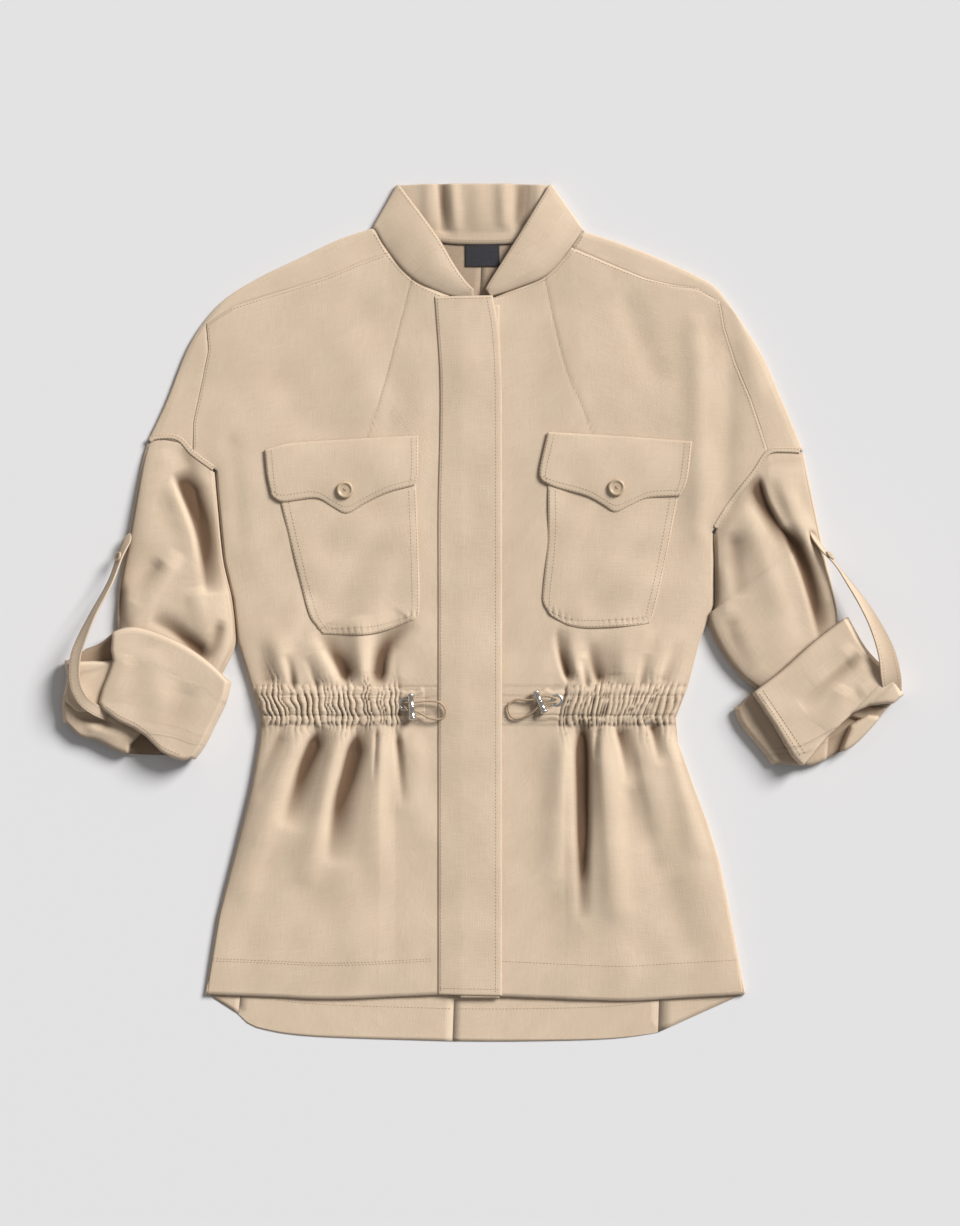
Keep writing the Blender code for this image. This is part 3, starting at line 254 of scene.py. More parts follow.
def tube(path, radius, sides):
    """A round section carried along a path: rows of circles square to it, drawn to a point at both ends."""
    along = np.gradient(path, axis=0)
    along /= np.linalg.norm(along, axis=1)[:, None]
    across = np.cross(along, [0.31, 0.17, 0.93])
    across /= np.linalg.norm(across, axis=1)[:, None]
    up = np.cross(across, along)
    angle = np.linspace(0, 2 * math.pi, sides, endpoint=False)
    ring = np.cos(angle)[None, :, None] * across[:, None] + np.sin(angle)[None, :, None] * up[:, None]
    size = np.concatenate([TUBE_TIP, np.ones(len(path) - 4), TUBE_TIP[::-1]]) * radius
    return path[:, None] + ring * size[:, None, None]


elastic, elastic_shader = new_material("elastic_cord")
braid_tree = elastic.node_tree
braid_uv = node(braid_tree, "ShaderNodeUVMap", uv_map="cloth")
braid_map = node(braid_tree, "ShaderNodeMapping", {"Vector": braid_uv.outputs[0], "Rotation": (0, 0, 0.85)})
braid = node(braid_tree, "ShaderNodeTexWave",
             {"Vector": braid_map.outputs[0], "Scale": 330.0, "Distortion": 0.6})
elastic_tint = tint_between(braid_tree, braid.outputs["Fac"], (0.26, 0.175, 0.10), (0.60, 0.45, 0.30))
braid_tree.links.new(elastic_tint, elastic_shader.inputs["Base Color"])
braid_bump = node(braid_tree, "ShaderNodeBump",
                  {"Height": braid.outputs["Fac"], "Distance": 0.0002, "Strength": 0.7})
braid_tree.links.new(braid_bump.outputs[0], elastic_shader.inputs["Normal"])
elastic_shader.inputs["Roughness"].default_value = 0.7

for side, route in CORD_ROUTE.items():
    path = spread(route, np.linspace(0, 1, CORD_POINTS))
    grid = tube(path, CORD_RADIUS, CORD_SIDES)
    cord = linked(f"drawcord_{side}", mesh_of(f"drawcord_{side}", [grid], elastic, closed=True))
    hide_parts(f"cord_{side}")
    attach(cord, "root")
    world_path = (path + LAID_SHIFT) * MM
    length = float(run_of(world_path)[-1])

# ---- Linen ---------------------------------------------------------------------------------------------
# Washed linen in a sand colour, plain weave of about 22 threads to the centimetre with thicker slubs in both
# directions. The same cloth makes every panel, so its weave is one group placed in the cloth's material.
SLUB_STRETCH = (1500.0, 55.0, 1.0)
PATCHES_PER_METRE = 22.0
THREAD_HEIGHT = 0.35
SLUB_TINT, PATCH_TINT = 0.8, 0.35
SPECULAR, SHEEN, SHEEN_ROUGHNESS = 0.25, 0.12, 0.5
# Painted shade: the dark brown that the cloth's colour is multiplied towards in folds, crevices and lower
# layers
PAINTED_SHADE_COLOUR = (0.235, 0.175, 0.135)
weave = bpy.data.node_groups.new("plain_weave", "ShaderNodeTree")
weave.interface.new_socket("Vector", in_out="INPUT", socket_type="NodeSocketVector")
weave.interface.new_socket("Threads per metre", in_out="INPUT", socket_type="NodeSocketFloat")
weave.interface.new_socket("Height", in_out="OUTPUT", socket_type="NodeSocketFloat")
weave.interface.new_socket("Slub", in_out="OUTPUT", socket_type="NodeSocketFloat")
weave.interface.new_socket("Patch", in_out="OUTPUT", socket_type="NodeSocketFloat")
weave_in, weave_out = weave.nodes.new("NodeGroupInput"), weave.nodes.new("NodeGroupOutput")
apart = node(weave, "ShaderNodeSeparateXYZ", {0: weave_in.outputs["Vector"]})
turns = maths(weave, "MULTIPLY", weave_in.outputs["Threads per metre"], math.pi)
warp = maths(weave, "SINE", maths(weave, "MULTIPLY", apart.outputs["X"], turns))
weft = maths(weave, "SINE", maths(weave, "MULTIPLY", apart.outputs["Y"], turns))
crossing = maths(weave, "MULTIPLY", warp, weft)
slubs = []
for stretch in (SLUB_STRETCH, (SLUB_STRETCH[1], SLUB_STRETCH[0], 1.0)):
    laid = node(weave, "ShaderNodeMapping", {"Vector": weave_in.outputs["Vector"], "Scale": stretch})
    slubs.append(node(weave, "ShaderNodeTexNoise",
                      {"Vector": laid.outputs[0], "Scale": 1.0, "Detail": 2.0}).outputs[0])
slub = maths(weave, "MULTIPLY", maths(weave, "ADD", *slubs), 0.5)
patchy = node(weave, "ShaderNodeTexNoise",
              {"Vector": weave_in.outputs["Vector"], "Scale": PATCHES_PER_METRE, "Detail": 3.0})
height = maths(weave, "ADD", maths(weave, "MULTIPLY", crossing, THREAD_HEIGHT), slub)
weave.links.new(height, weave_out.inputs["Height"])
weave.links.new(slub, weave_out.inputs["Slub"])
weave.links.new(patchy.outputs[0], weave_out.inputs["Patch"])


def cloth_material(name, dark, light, roughness, threads, bump):
    """Woven cloth: the slubs and soft patches move its colour, painted shade darkens it in folds, and
    threads and slubs raise its surface.
    """
    material, shader = new_material(name)
    tree = material.node_tree
    uv = node(tree, "ShaderNodeUVMap", uv_map="cloth")
    cloth = node(tree, "ShaderNodeGroup", node_tree=weave)
    tree.links.new(uv.outputs[0], cloth.inputs["Vector"])
    cloth.inputs["Threads per metre"].default_value = threads
    share = maths(tree, "ADD", maths(tree, "MULTIPLY", cloth.outputs["Slub"], SLUB_TINT),
                  maths(tree, "MULTIPLY", cloth.outputs["Patch"], PATCH_TINT))
    stretched = node(tree, "ShaderNodeMapRange", {"Value": share, "From Min": 0.38, "From Max": 0.78})
    tint = tint_between(tree, stretched.outputs[0], dark, light)
    # Painted shade: the point attribute multiplies the cloth's colour towards a dark brown
    shade_mask = node(tree, "ShaderNodeAttribute", attribute_name="painted_shade")
    shaded = node(tree, "ShaderNodeMix", {"Factor": shade_mask.outputs["Fac"], "A": tint}, data_type="RGBA",
                  blend_type="MULTIPLY")
    shaded.inputs["B"].default_value = (*PAINTED_SHADE_COLOUR, 1)
    tree.links.new(shaded.outputs["Result"], shader.inputs["Base Color"])
    raised = node(tree, "ShaderNodeBump",
                  {"Height": cloth.outputs["Height"], "Distance": bump, "Strength": 1.0})
    tree.links.new(raised.outputs[0], shader.inputs["Normal"])
    shader.inputs["Roughness"].default_value = roughness
    shader.inputs["Specular IOR Level"].default_value = SPECULAR
    shader.inputs["Sheen Weight"].default_value = SHEEN
    shader.inputs["Sheen Roughness"].default_value = SHEEN_ROUGHNESS
    return material


linen = cloth_material("sand_linen", (0.641, 0.490, 0.345), (0.768, 0.613, 0.458), 0.85, 2200.0, 0.00022)

# ---- Body ----------------------------------------------------------------------------------------------
# Two fronts and a back in two halves, all linen. The fronts meet under the placket, turn round the sides and
# are seamed to the back there; the back comes over the shoulders to a forward seam. Two rows of stitches
# make the waist's casing, drawn in on its cord so that the cloth is gathered above and below it.
WALL = 0.9
SEAM_GAP = 0.2
LAY_GAP = 0.3
EDGE_HEIGHT = 3.8
ROUNDING = 26.0
CREST_BY_Y = ((330, 4.6), (250, 5.2), (120, 6.0), (0, 6.0), (-80, 7.2), (-180, 6.6), (-280, 4.6),
              (-332, 3.4))
CASING_TOP, CASING_FOOT = -71.0, -88.0
FRONT_EDGE = {"left": -29.0, "right": -28.0}
GATHER_START = {"left": -71.0, "right": 68.0}
CENTRE_BACK_TOP = (-1.0, 311.5)
CENTRE_BACK_FOOT = (-26.0, -365.0)
SHOULDER = {
    "left": ((-92, 326), (-122, 316), (-156, 300), (-193, 282), (-224, 261), (-249, 227), (-269, 178),
             (-285, 144)),
    "right": ((84, 323), (116, 313), (151, 299), (187, 282), (203, 269), (235, 221), (250, 189), (272, 136)),
}
FORWARD_SEAM = {
    "left": ((-80, 305), (-105, 296), (-138, 282), (-184, 268), (-222, 255), (-235, 244), (-233, 222),
             (-241, 184),
             (-246, 160), (-246, 135)),
    "right": ((75, 309), (99, 299), (125, 288), (150, 279), (187, 273), (201, 263), (203, 249), (212, 217),
              (227, 181), (242, 135)),
}
ARMHOLE = {
    "left": ((-285, 144), (-277, 148), (-259, 147), (-246, 134), (-227, 120)),
    "right": ((272, 136), (257, 137), (242, 135), (230, 118), (210, 92), (195, 68)),
}
SIDE = {
    "left": ((-227, 120), (-225, 95), (-220, 44), (-212, 10), (-208, -26), (-197, -62), (-189, -90),
             (-190, -112),
             (-197, -150), (-209, -198), (-225, -259), (-236, -325)),
    "right": ((195, 68), (196, 44), (196, 5), (184, -25), (174, -64), (164, -90), (166, -112), (180, -151),
              (191, -180), (201, -212), (208, -246), (223, -325)),
}
NECK = {
    "left": ((-29, 270), (-37, 271), (-60, 283), (-80, 305)),
    "right": ((-28, 261), (4, 265), (27, 273.5), (53, 284.5), (75, 309)),
}
FRONT_HEM = {
    "left": ((-29, -325), (-125, -329), (-185, -327), (-236, -325)),
    "right": ((-28, -326), (79, -330), (127, -331), (174, -328), (223, -325)),
}
BACK_HEM = {
    "left": ((-236, -325), (-224, -330), (-212, -337), (-202, -348), (-186, -355), (-142, -361),
             (-26, -365)),
    "right": ((223, -325), (207, -337), (184, -350), (152, -357), (107, -363), (33, -365), (-26, -365)),
}
BACK_NECK = {
    "left": ((-92, 326), (-60, 318), (-30, 312.5), (-1, 311.5)),
    "right": ((84, 323), (55, 317), (28, 312.5), (-1, 311.5)),
}
TURN = {"left": 5, "right": 5}
ARM_TURN = {"left": 3, "right": 2}
NECK_SHARE = {"left": 0.22, "right": 0.40}
SEAM_ROWS = {"left": (222, 190, 160, 135), "right": (240, 210, 180, 157, 135)}
WRAP = {"left": ((120, 9), (-80, 12), (-325, 26)), "right": ((68, 9), (-80, 16), (-325, 72))}
SLEEVE_OUTER = {
    "left": ((-285, 144), (-291, 120), (-301, 64), (-309, 20), (-310, -14), (-309, -34)),
    "right": ((272, 136), (277, 110), (288, 58), (299, 9), (301, -8), (304, -26)),
}
STYLE_SEAM = {
    "left": ((-60, 281), (-66, 260), (-77, 217), (-87, 180), (-98, 147)),
    "right": ((53, 282), (64, 231), (74, 196), (82, 180), (93, 151)),
}
# Folds as x and y of both ends, height (a trough where negative) and width
BODY_FOLDS = (
    (-117, -20, -118, -66, -2.6, 9), (-89, -16, -88, -66, -2.4, 7), (-103, -8, -102, -66, 2.2, 8),
    (-178, -22, -160, -64, 2.4, 9), (84, -20, 97, -66, -2.6, 8), (66, -10, 74, -66, 2.4, 8),
    (140, -14, 128, -66, 2.0, 9), (-137, -98, -170, -176, -2.4, 10), (-100, -96, -128, -186, -2.4, 9),
    (-116, -98, -150, -230, 3.6, 13), (-76, -96, -64, -172, 3.0, 11), (-166, -98, -205, -240, 2.6, 14),
    (84, -96, 85, -200, -4.2, 8), (66, -98, 60, -236, 2.6, 12), (103, -98, 114, -262, 4.0, 13),
    (150, -98, 184, -205, 2.6, 12), (128, -100, 150, -220, -2.0, 10), (-226, 150, -190, 30, 1.6, 16),
    (186, 230, 186, 60, 2.2, 12),
)


def table_at(table, at):
    """The second column of a two-column table, read between its rows at values of the first."""
    rows = np.asarray(sorted(table), float)
    return np.interp(at, rows[:, 0], rows[:, 1])


def x_at(points, y):
    """x of the smooth curve where it has this y."""
    path = smooth_path(points)
    order = np.argsort(path[:, 1])
    return np.interp(y, path[order, 1], path[order, 0])


def y_on(points, x):
    """y of the smooth curve where it has this x."""
    path = smooth_path(points)
    order = np.argsort(path[:, 0])
    return np.interp(x, path[order, 0], path[order, 1])


def edge_x(points, y):
    """x at this y on a line of straight runs."""
    points = np.asarray(points, float)[::-1]
    return np.interp(y, points[:, 1], points[:, 0])


FAR = 1e9


def distance_to(points, x, y):
    """Distance in plan from (x, y) to the nearest run of the smooth curve."""
    path = smooth_path(points, 3)
    best = np.full(np.shape(x), FAR)
    for a, b in zip(path[:-1], path[1:]):
        run = b - a
        share = np.clip(((x - a[0]) * run[0] + (y - a[1]) * run[1]) / (run @ run), 0, 1)
        best = np.minimum(best, np.hypot(x - a[0] - share * run[0], y - a[1] - share * run[1]))
    return best


def rounded(distance, reach=ROUNDING):
    """0 at an edge, 1 from reach inwards, as a quarter of an ellipse."""
    return np.sqrt(1 - (1 - np.clip(distance / reach, 0, 1)) ** 2)


def relief(folds, x, y):
    """Sum of soft ridges and troughs: a bell across each line, eased to nothing past its ends."""
    total = np.zeros(np.shape(x))
    for x0, y0, x1, y1, height, width in folds:
        length = math.hypot(x1 - x0, y1 - y0)
        along = ((x1 - x0) / length, (y1 - y0) / length)
        s = (x - x0) * along[0] + (y - y0) * along[1]
        t = (x - x0) * along[1] - (y - y0) * along[0]
        ends = np.clip((s + width) / (2 * width), 0, 1) * np.clip((length + width - s) / (2 * width), 0, 1)
        total += height * np.exp(-((t / width) ** 2)) * ends * ends * (3 - 2 * ends)
    return total


FOLD_START, FOLD_END = 5, 0.6


def drawn_folds(rows, x, y):
    """Creases along drawn curves: full at the start, dying away to the end, each side with its own width.

    With t the distance to the curve and s the share of its length, a row gives
    height * exp(-(t / width)^2) * min(1, 5 s) * (1 - s)^0.6, the width being the western or the eastern one.
    """
    x, y = np.broadcast_arrays(np.asarray(x, float), np.asarray(y, float))
    total = np.zeros(x.shape)
    for points, height, west, east, growth in rows:
        path = smooth_path(points, 4)
        run = run_of(path)
        best, along, east_of = np.full(x.shape, FAR), np.zeros(x.shape), np.zeros(x.shape)
        for start, end, passed in zip(path[:-1], path[1:], run):
            way = end - start
            length = math.hypot(*way)
            share = np.clip(((x - start[0]) * way[0] + (y - start[1]) * way[1]) / length ** 2, 0, 1)
            dx, dy = x - start[0] - share * way[0], y - start[1] - share * way[1]
            away = np.hypot(dx, dy)
            nearer = away < best
            best = np.where(nearer, away, best)
            along = np.where(nearer, passed + share * length, along)
            east_of = np.where(nearer, dx, east_of)
        share = along / run[-1]
        width = np.where(east_of < 0, west, east) * (1 + growth * share)
        fade = np.clip(FOLD_START * share, 0, 1) * np.clip(1 - share, 0, 1) ** FOLD_END
        total += height * np.exp(-((best / width) ** 2)) * fade
    return total


WANDER_WAVES = 9


def unevenness(x, y, wavelength, seed):
    """Smooth wander between about -1 and 1: a sum of sine waves in seeded directions and lengths."""
    rng = np.random.default_rng(seed)
    total = np.zeros(np.shape(x))
    for _ in range(WANDER_WAVES):
        heading = rng.uniform(0, math.pi)
        length = wavelength * rng.uniform(0.6, 1.6)
        phase = rng.uniform(0, 6.3)
        total += np.sin(2 * math.pi * (x * math.cos(heading) + y * math.sin(heading)) / length + phase)
    return total / 4.0


# Creases that run out of the gathers: the curve from the casing outwards, height, width to its west and to
# its east, and how much wider it ends
WAIST_CREASES = (
    (((-114, -64), (-121, -48), (-134, -26), (-140, -14)), -7.5, 3.5, 9, 1.0),
    (((-88, -66), (-84, -36), (-68, -14), (-62, -6)), -7.5, 8, 4, 1.0),
    (((-160, -68), (-164, -46), (-168, -36)), -4.5, 2.5, 3, 0.5),
    (((-181, -66), (-184, -46), (-186, -28)), -3.0, 7, 8, 0.5),
    (((-140, -68), (-146, -48), (-150, -38)), -2.6, 2, 3, 1),
    (((-126, -64), (-136, -40), (-148, -18)), 3.6, 8, 5, 1.0),
    (((-101, -62), (-103, -36), (-108, -4)), 3.4, 6, 7, 1.0),
    (((-72, -64), (-66, -44), (-56, -20)), 2.0, 6, 8, 1.0),
    (((-170, -62), (-176, -30), (-182, -6)), 2.2, 6, 6, 1.0),
    (((-137, -96), (-152, -128), (-160, -156), (-168, -182)), -8.0, 4, 10, 0.8),
    (((-101, -95), (-110, -114), (-117, -139), (-124, -165), (-129, -214)), -8.5, 4, 11, 0.7),
    (((-74, -98), (-71, -126), (-68, -165)), -5.0, 2.4, 3.4, 0.6),
    (((-90, -96), (-91, -120), (-92, -142)), -2.6, 2, 2.5, 0),
    (((-116, -94), (-129, -130), (-142, -190), (-150, -232)), 4.2, 7, 5, 1.0),
    (((-84, -95), (-88, -140), (-96, -220)), 3.4, 7, 6, 1.0),
    (((-60, -98), (-56, -140), (-54, -200)), 2.6, 7, 8, 1.0),
    (((-150, -96), (-170, -140), (-190, -200)), 3.0, 7, 6, 1.0),
    (((-168, -96), (-182, -130), (-192, -160)), -3.4, 4, 7, 1.0),
    (((73, -62), (67, -42), (62, -14)), -7.0, 1.8, 6, 0.8),
    (((100, -64), (95, -50), (90, -26)), -4.2, 2.5, 5, 1.0),
    (((89, -66), (86, -50), (84, -40)), -3.6, 2.2, 3, 0.5),
    (((110, -64), (104, -34), (96, -22)), -3.0, 10, 8, 0.6),
    (((133, -66), (137, -44), (138, -36)), -3.0, 2.2, 3, 1.0),
    (((82, -60), (77, -38), (74, -8)), 3.0, 4, 5, 1.0),
    (((118, -62), (120, -34), (122, -8)), 2.6, 6, 8, 1.0),
    (((150, -66), (158, -44), (166, -26)), -2.6, 3, 5, 1.0),
    (((143, -62), (151, -38), (160, -12)), 2.2, 5, 6, 1.0),
    (((82, -91), (83, -130), (83.5, -190), (84, -262)), -9.5, 5, 6, 0.0),
    (((86, -91), (87, -130), (87, -180), (86, -230)), -4.5, 5, 3.4, 0.0),
    (((70, -94), (67, -140), (62, -230)), 3.6, 7, 4, 1.0),
    (((100, -94), (103, -150), (112, -262)), 4.6, 5, 9, 1.0),
    (((112, -94), (119, -119), (124, -146)), -5.5, 2.4, 8, 0.8),
    (((139, -93), (145, -104), (150, -128)), -5.5, 2.4, 7, 0.8),
    (((127, -96), (140, -150), (160, -230)), 3.8, 5, 9, 1.0),
    (((152, -96), (168, -140), (186, -210)), 3.0, 5, 7, 1.0),
    (((124, -142), (129, -165), (134, -200)), -2.6, 8, 10, 0.6),
    (((98, -95), (96, -112), (95, -126)), -3.0, 2.2, 3, 0.0),
)
# Softer folds of the chest, the shoulders and the skirt's foot: x and y of both ends, height and width
CHEST_FOLDS = (
    (-150, 10, -176, -44, 1.8, 10), (-120, 232, -60, 60, 0.9, 20), (92, 250, 40, 60, 0.9, 18),
    (-60, -20, -50, 180, 0.8, 12), (150, 196, 120, 268, -1.4, 12), (-180, 190, -90, 262, -1.0, 14),
    (-200, -290, -170, -190, -1.2, 16), (-110, -300, -118, -210, 1.2, 16), (60, -300, 66, -200, -1.2, 16),
    (176, -290, 150, -190, -1.4, 15), (120, -310, 116, -220, 1.2, 18), (184, 60, 180, 250, 1.4, 9),
    (208, 90, 212, 226, -1.6, 9), (-206, 60, -214, 150, -1.2, 9), (222, 244, 236, 180, 1.2, 8),
)
FULLER_BY_Y = ((30, 0), (-45, 2.4), (-80, 2.8), (-160, 3.0), (-250, 1.2), (-330, 0))
GATHERS = 27
GATHER_DEPTH = 3.6
CASING_PUFF = 1.3
DEEP = 4.6
RUFFLE_TOP, RUFFLE_FOOT, RUFFLE_LIFT = -64.5, -94.5, 1.3
SCALLOP, SCALLOP_WANDER = 4.0, 1.3
CASING_MIDDLE = -79
CASING_REACH = 22
CASING_ROW_DEPTH, CASING_ROW_WIDTH, CASING_ROW_WANDER = 0.55, 1.1, 0.8
# The pleats' roundness, their mean height and how they fade, and how far they wander across
PLEAT_ROUNDNESS, PLEAT_MEAN, PLEAT_FADE = 0.5, 0.72, 1.4
SWAY, SWAY_LENGTH, SWAY_SEED = 0.013, 46, {"left": 5, "right": 9}
gather_rng = np.random.default_rng(11)
gather_table = {}
for side in ("left", "right"):
    widths = gather_rng.uniform(0.5, 1.6, GATHERS)
    gather_table[side] = {
        "ends": np.concatenate([[0], np.cumsum(widths)]) / widths.sum(),
        "depth": gather_rng.uniform(0.3, 1.5, GATHERS + 1),
        "up": gather_rng.uniform(1.5, 12, GATHERS + 1) ** 1.1,
        "down": gather_rng.uniform(3, 13, GATHERS + 1) ** 1.1,
    }


def gathers(side, x, y):
    """Pinched pleats either side of the casing: rounded ridges between sharp valleys, each fading out."""
    table = gather_table[side]
    start = abs(GATHER_START[side] - FRONT_EDGE[side])
    width = np.abs(edge_x(SIDE[side], y) - FRONT_EDGE[side])
    waist_width = abs(edge_x(SIDE[side], CASING_MIDDLE) - FRONT_EDGE[side])
    across = np.abs(x - FRONT_EDGE[side]) / width * waist_width
    sway = unevenness(x * 1.3, y * 2.6, SWAY_LENGTH, SWAY_SEED[side]) * SWAY
    u = np.clip((across - start) / (waist_width - start) + sway, 0, 0.9999)
    cell = np.clip(np.searchsorted(table["ends"], u, side="right") - 1, 0, GATHERS - 1)
    low, high = table["ends"][cell], table["ends"][cell + 1]
    wave = np.abs(np.sin(math.pi * (u - low) / (high - low))) ** PLEAT_ROUNDNESS - PLEAT_MEAN
    above = np.exp(-(np.clip((y - CASING_TOP) / table["up"][cell], 0, None)) ** PLEAT_FADE)
    below = np.exp(-(np.clip((CASING_FOOT - y) / table["down"][cell], 0, None)) ** PLEAT_FADE)
    inside = (across > start - 3) & (across < waist_width + 2)
    side_ease = np.clip((across - start + 3) / 6, 0, 1)
    casing = np.clip((y - CASING_FOOT) / (CASING_TOP - CASING_FOOT), 0, 1)
    puff = CASING_PUFF * np.sin(math.pi * casing) ** 0.6
    wander = CASING_ROW_WANDER * unevenness(x, y * 0.2, 14, 12)
    rows = (np.exp(-((y - CASING_TOP - wander) / CASING_ROW_WIDTH) ** 2)
            + np.exp(-((y - CASING_FOOT - wander) / CASING_ROW_WIDTH) ** 2))
    folds = GATHER_DEPTH * table["depth"][cell] * wave * above * below * inside
    puff = puff * (0.6 + 0.8 * wave)
    uneven = SCALLOP_WANDER * unevenness(x, y * 0.1, 9, 13)
    ruffle = (np.clip((y - RUFFLE_FOOT + SCALLOP * wave + uneven) / 2.2 + 0.5, 0, 1)
              * np.clip((RUFFLE_TOP + SCALLOP * wave + uneven - y) / 3 + 0.5, 0, 1))
    strip = RUFFLE_LIFT * ruffle * (across > start - CASING_REACH)
    return (side_ease * (folds + puff * inside) + strip
            - CASING_ROW_DEPTH * rows * (across > start - CASING_REACH) * (across < waist_width))


# The fronts are fuller this far from the middle, over this width
FULLER_MIDDLE, FULLER_FROM, FULLER_WIDTH = -2, 72, 14
BODY_FOLD_SHARE = 0.5
EDGE_SHARE = 0.7
GATHER_EASE = 4
STYLE_SEAM_DEPTH, STYLE_SEAM_WIDTH = 0.45, 1.1
LEAST_HEIGHT = 1.6


def body_height(side, x, y, fine=True):
    """Height of the cloth's middle: a low crown rounded to the outline, with folds, gathers and wander."""
    outline = np.minimum(distance_to(SHOULDER[side] + SLEEVE_OUTER[side][1:], x, y),
                         distance_to(SIDE[side], x, y))
    fuller = np.clip((np.abs(x - FULLER_MIDDLE) - FULLER_FROM) / FULLER_WIDTH, 0,
                     1) * table_at(FULLER_BY_Y, y)
    crest = table_at(CREST_BY_Y, y) + fuller + BODY_FOLD_SHARE * relief(BODY_FOLDS, x, y)
    crest = crest + drawn_folds(WAIST_CREASES, x, y) + relief(CHEST_FOLDS, x, y)
    crest = crest + 0.8 * unevenness(x, y, 110, 3) + 0.25 * unevenness(x, y, 34, 4)
    height = np.maximum(EDGE_HEIGHT * EDGE_SHARE, EDGE_HEIGHT + (crest - EDGE_HEIGHT) * rounded(outline))
    if fine:
        height = height + gathers(side, x, y) * np.clip(outline / GATHER_EASE, 0, 1)
        seam = distance_to(STYLE_SEAM[side], x, y) / STYLE_SEAM_WIDTH
        height = height - STYLE_SEAM_DEPTH * np.exp(-seam ** 2)
    return np.maximum(height, LEAST_HEIGHT)


def fold_under(x, y, height, inwards, bottom, steps):
    """Half turns that carry the cloth from raised edges to the bottom layer, as (rows, steps, xyz)."""
    radius = (height - bottom)[:, None] / 2
    angles = np.linspace(0, math.pi, steps + 1)[None, 1:]
    across = radius * np.sin(angles)
    z = bottom + radius + radius * np.cos(angles)
    return np.dstack([x[:, None] - inwards[:, :1] * across, y[:, None] - inwards[:, 1:] * across, z])


def seam_stations(side):
    """The forward seam as straight runs along the shoulder to its turn, and then down the arm."""
    rows = np.asarray(FORWARD_SEAM[side], float)
    along = spread(rows[:TURN[side] + 1], np.linspace(0, 1, 7))
    down = np.column_stack([x_at(rows[TURN[side]:], SEAM_ROWS[side]), SEAM_ROWS[side]])
    return along, np.vstack([along[-1:], down])


def front_plan(side, shares, y_side):
    """Plan of a front: rows run from its middle edge to its side, between the neck, waist and hem curves."""
    along, down_seam = seam_stations(side)
    down = np.vstack([down_seam, ARMHOLE[side][ARM_TURN[side] + 1:], SIDE[side][1:]])
    corner = NECK_SHARE[side]
    on_neck = shares <= corner
    top = np.vstack([spread(NECK[side], shares[on_neck] / corner),
                     on_runs(along, (shares[~on_neck] - corner) / (1 - corner))])
    hem = spread(FRONT_HEM[side], shares)
    y_top, y_waist, y_foot = down[0][1], -44.0, FRONT_HEM[side][0][1]
    waist_x = FRONT_EDGE[side] + (edge_x(down, y_waist) - FRONT_EDGE[side]) * shares
    waist = np.column_stack([waist_x, np.full(len(shares), y_waist)])
    y = np.asarray(y_side, float)[:, None, None]
    upper = y > y_waist
    share = np.where(upper, (y_top - y) / (y_top - y_waist), (y - y_waist) / (y_foot - y_waist))
    first, last = np.where(upper, top[None], waist[None]), np.where(upper, waist[None], hem[None])
    sides = np.column_stack([edge_x(down, y_side), y_side])[:, None]
    bulge = sides - (1 - share) * first[:, -1:] - share * last[:, -1:]
    return (1 - share) * first + share * last + shares[None, :, None] * bulge


def wrapped_foot(side, x, y):
    """y of the part wrapped to the back: it dips to the longer back hem, and rows above follow softly."""
    hem = smooth_path(BACK_HEM[side])
    order = np.argsort(hem[:, 0])
    dip = np.interp(x, hem[order, 0], hem[order, 1]) - hem[0, 1]
    return y + dip * np.clip((-y - 225) / 100, 0, 1)


def armhole_y(side, x):
    """y of the armhole seam at this x, as straight runs."""
    turn = ARM_TURN[side]
    line = np.vstack([spread(ARMHOLE[side][:turn + 1], np.linspace(0, 1, 4)), ARMHOLE[side][turn + 1:]])
    order = np.argsort(line[:, 0])
    return np.interp(x, line[order, 0], line[order, 1])


def shell(name, grids, material, wall, closed=False, weld=False, flip=False, troughs=(), shade=1.0):
    """A piece of cloth: the surface of the grids given its thickness, riding on the one body."""
    if flip:
        grids = [grid[:, ::-1] for grid in grids]
        troughs = [trough[:, ::-1] for trough in troughs]
    obj = linked(name, mesh_of(name, grids, material, closed, weld, troughs, shade))
    solid = obj.modifiers.new("thickness", "SOLIDIFY")
    solid.thickness, solid.offset = wall * MM, 0.0
    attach(obj, "root")
    return obj


def inset_line(grid, edge, inset, start=0.0, end=1.0):
    """A line on a piece, a fixed length of cloth in from one of its edges, between two shares of that edge.

    From the edge each row's lengths are added up, and the line passes where they reach the inset.
    """
    rows = {"left": grid, "right": grid[:, ::-1], "foot": grid.swapaxes(0, 1),
            "top": grid[::-1].swapaxes(0, 1)}[edge]
    first, last = round(start * (len(rows) - 1)), round(end * (len(rows) - 1))
    rows = rows[first:last + 1]
    lengths = np.pad(np.cumsum(np.linalg.norm(np.diff(rows, axis=1), axis=2), axis=1), ((0, 0), (1, 0)))
    after = np.clip((lengths < inset).sum(axis=1), 1, rows.shape[1] - 1)
    at = np.arange(len(rows))
    before = lengths[at, after - 1]
    share = ((inset - before) / (lengths[at, after] - before))[:, None]
    return rows[at, after - 1] * (1 - share) + rows[at, after] * share


STITCH_PITCH = 2.9
STITCH_LENGTH = 2.0
THREAD_RADIUS = 0.29
LINE_POINTS = 160
stitch_lines = {}


def stitched(piece, line, surface=WALL / 2, pitch=STITCH_PITCH):
    """Notes a row of stitches: the line it follows on the middle of the cloth, and the cloth's half wall."""
    line = np.asarray(line, float)
    line = line + np.array([0, 0, surface + THREAD_RADIUS * 0.35])
    count = max(2, round(run_of(line)[-1] / pitch))
    stitch_lines.setdefault(piece, []).append(on_runs(line, np.linspace(0, 1, count + 1)))


def on_body(side, line):
    """A plan line laid on a front."""
    line = spread(line, np.linspace(0, 1, LINE_POINTS))
    return np.column_stack([line, body_height(side, line[:, 0], line[:, 1])])


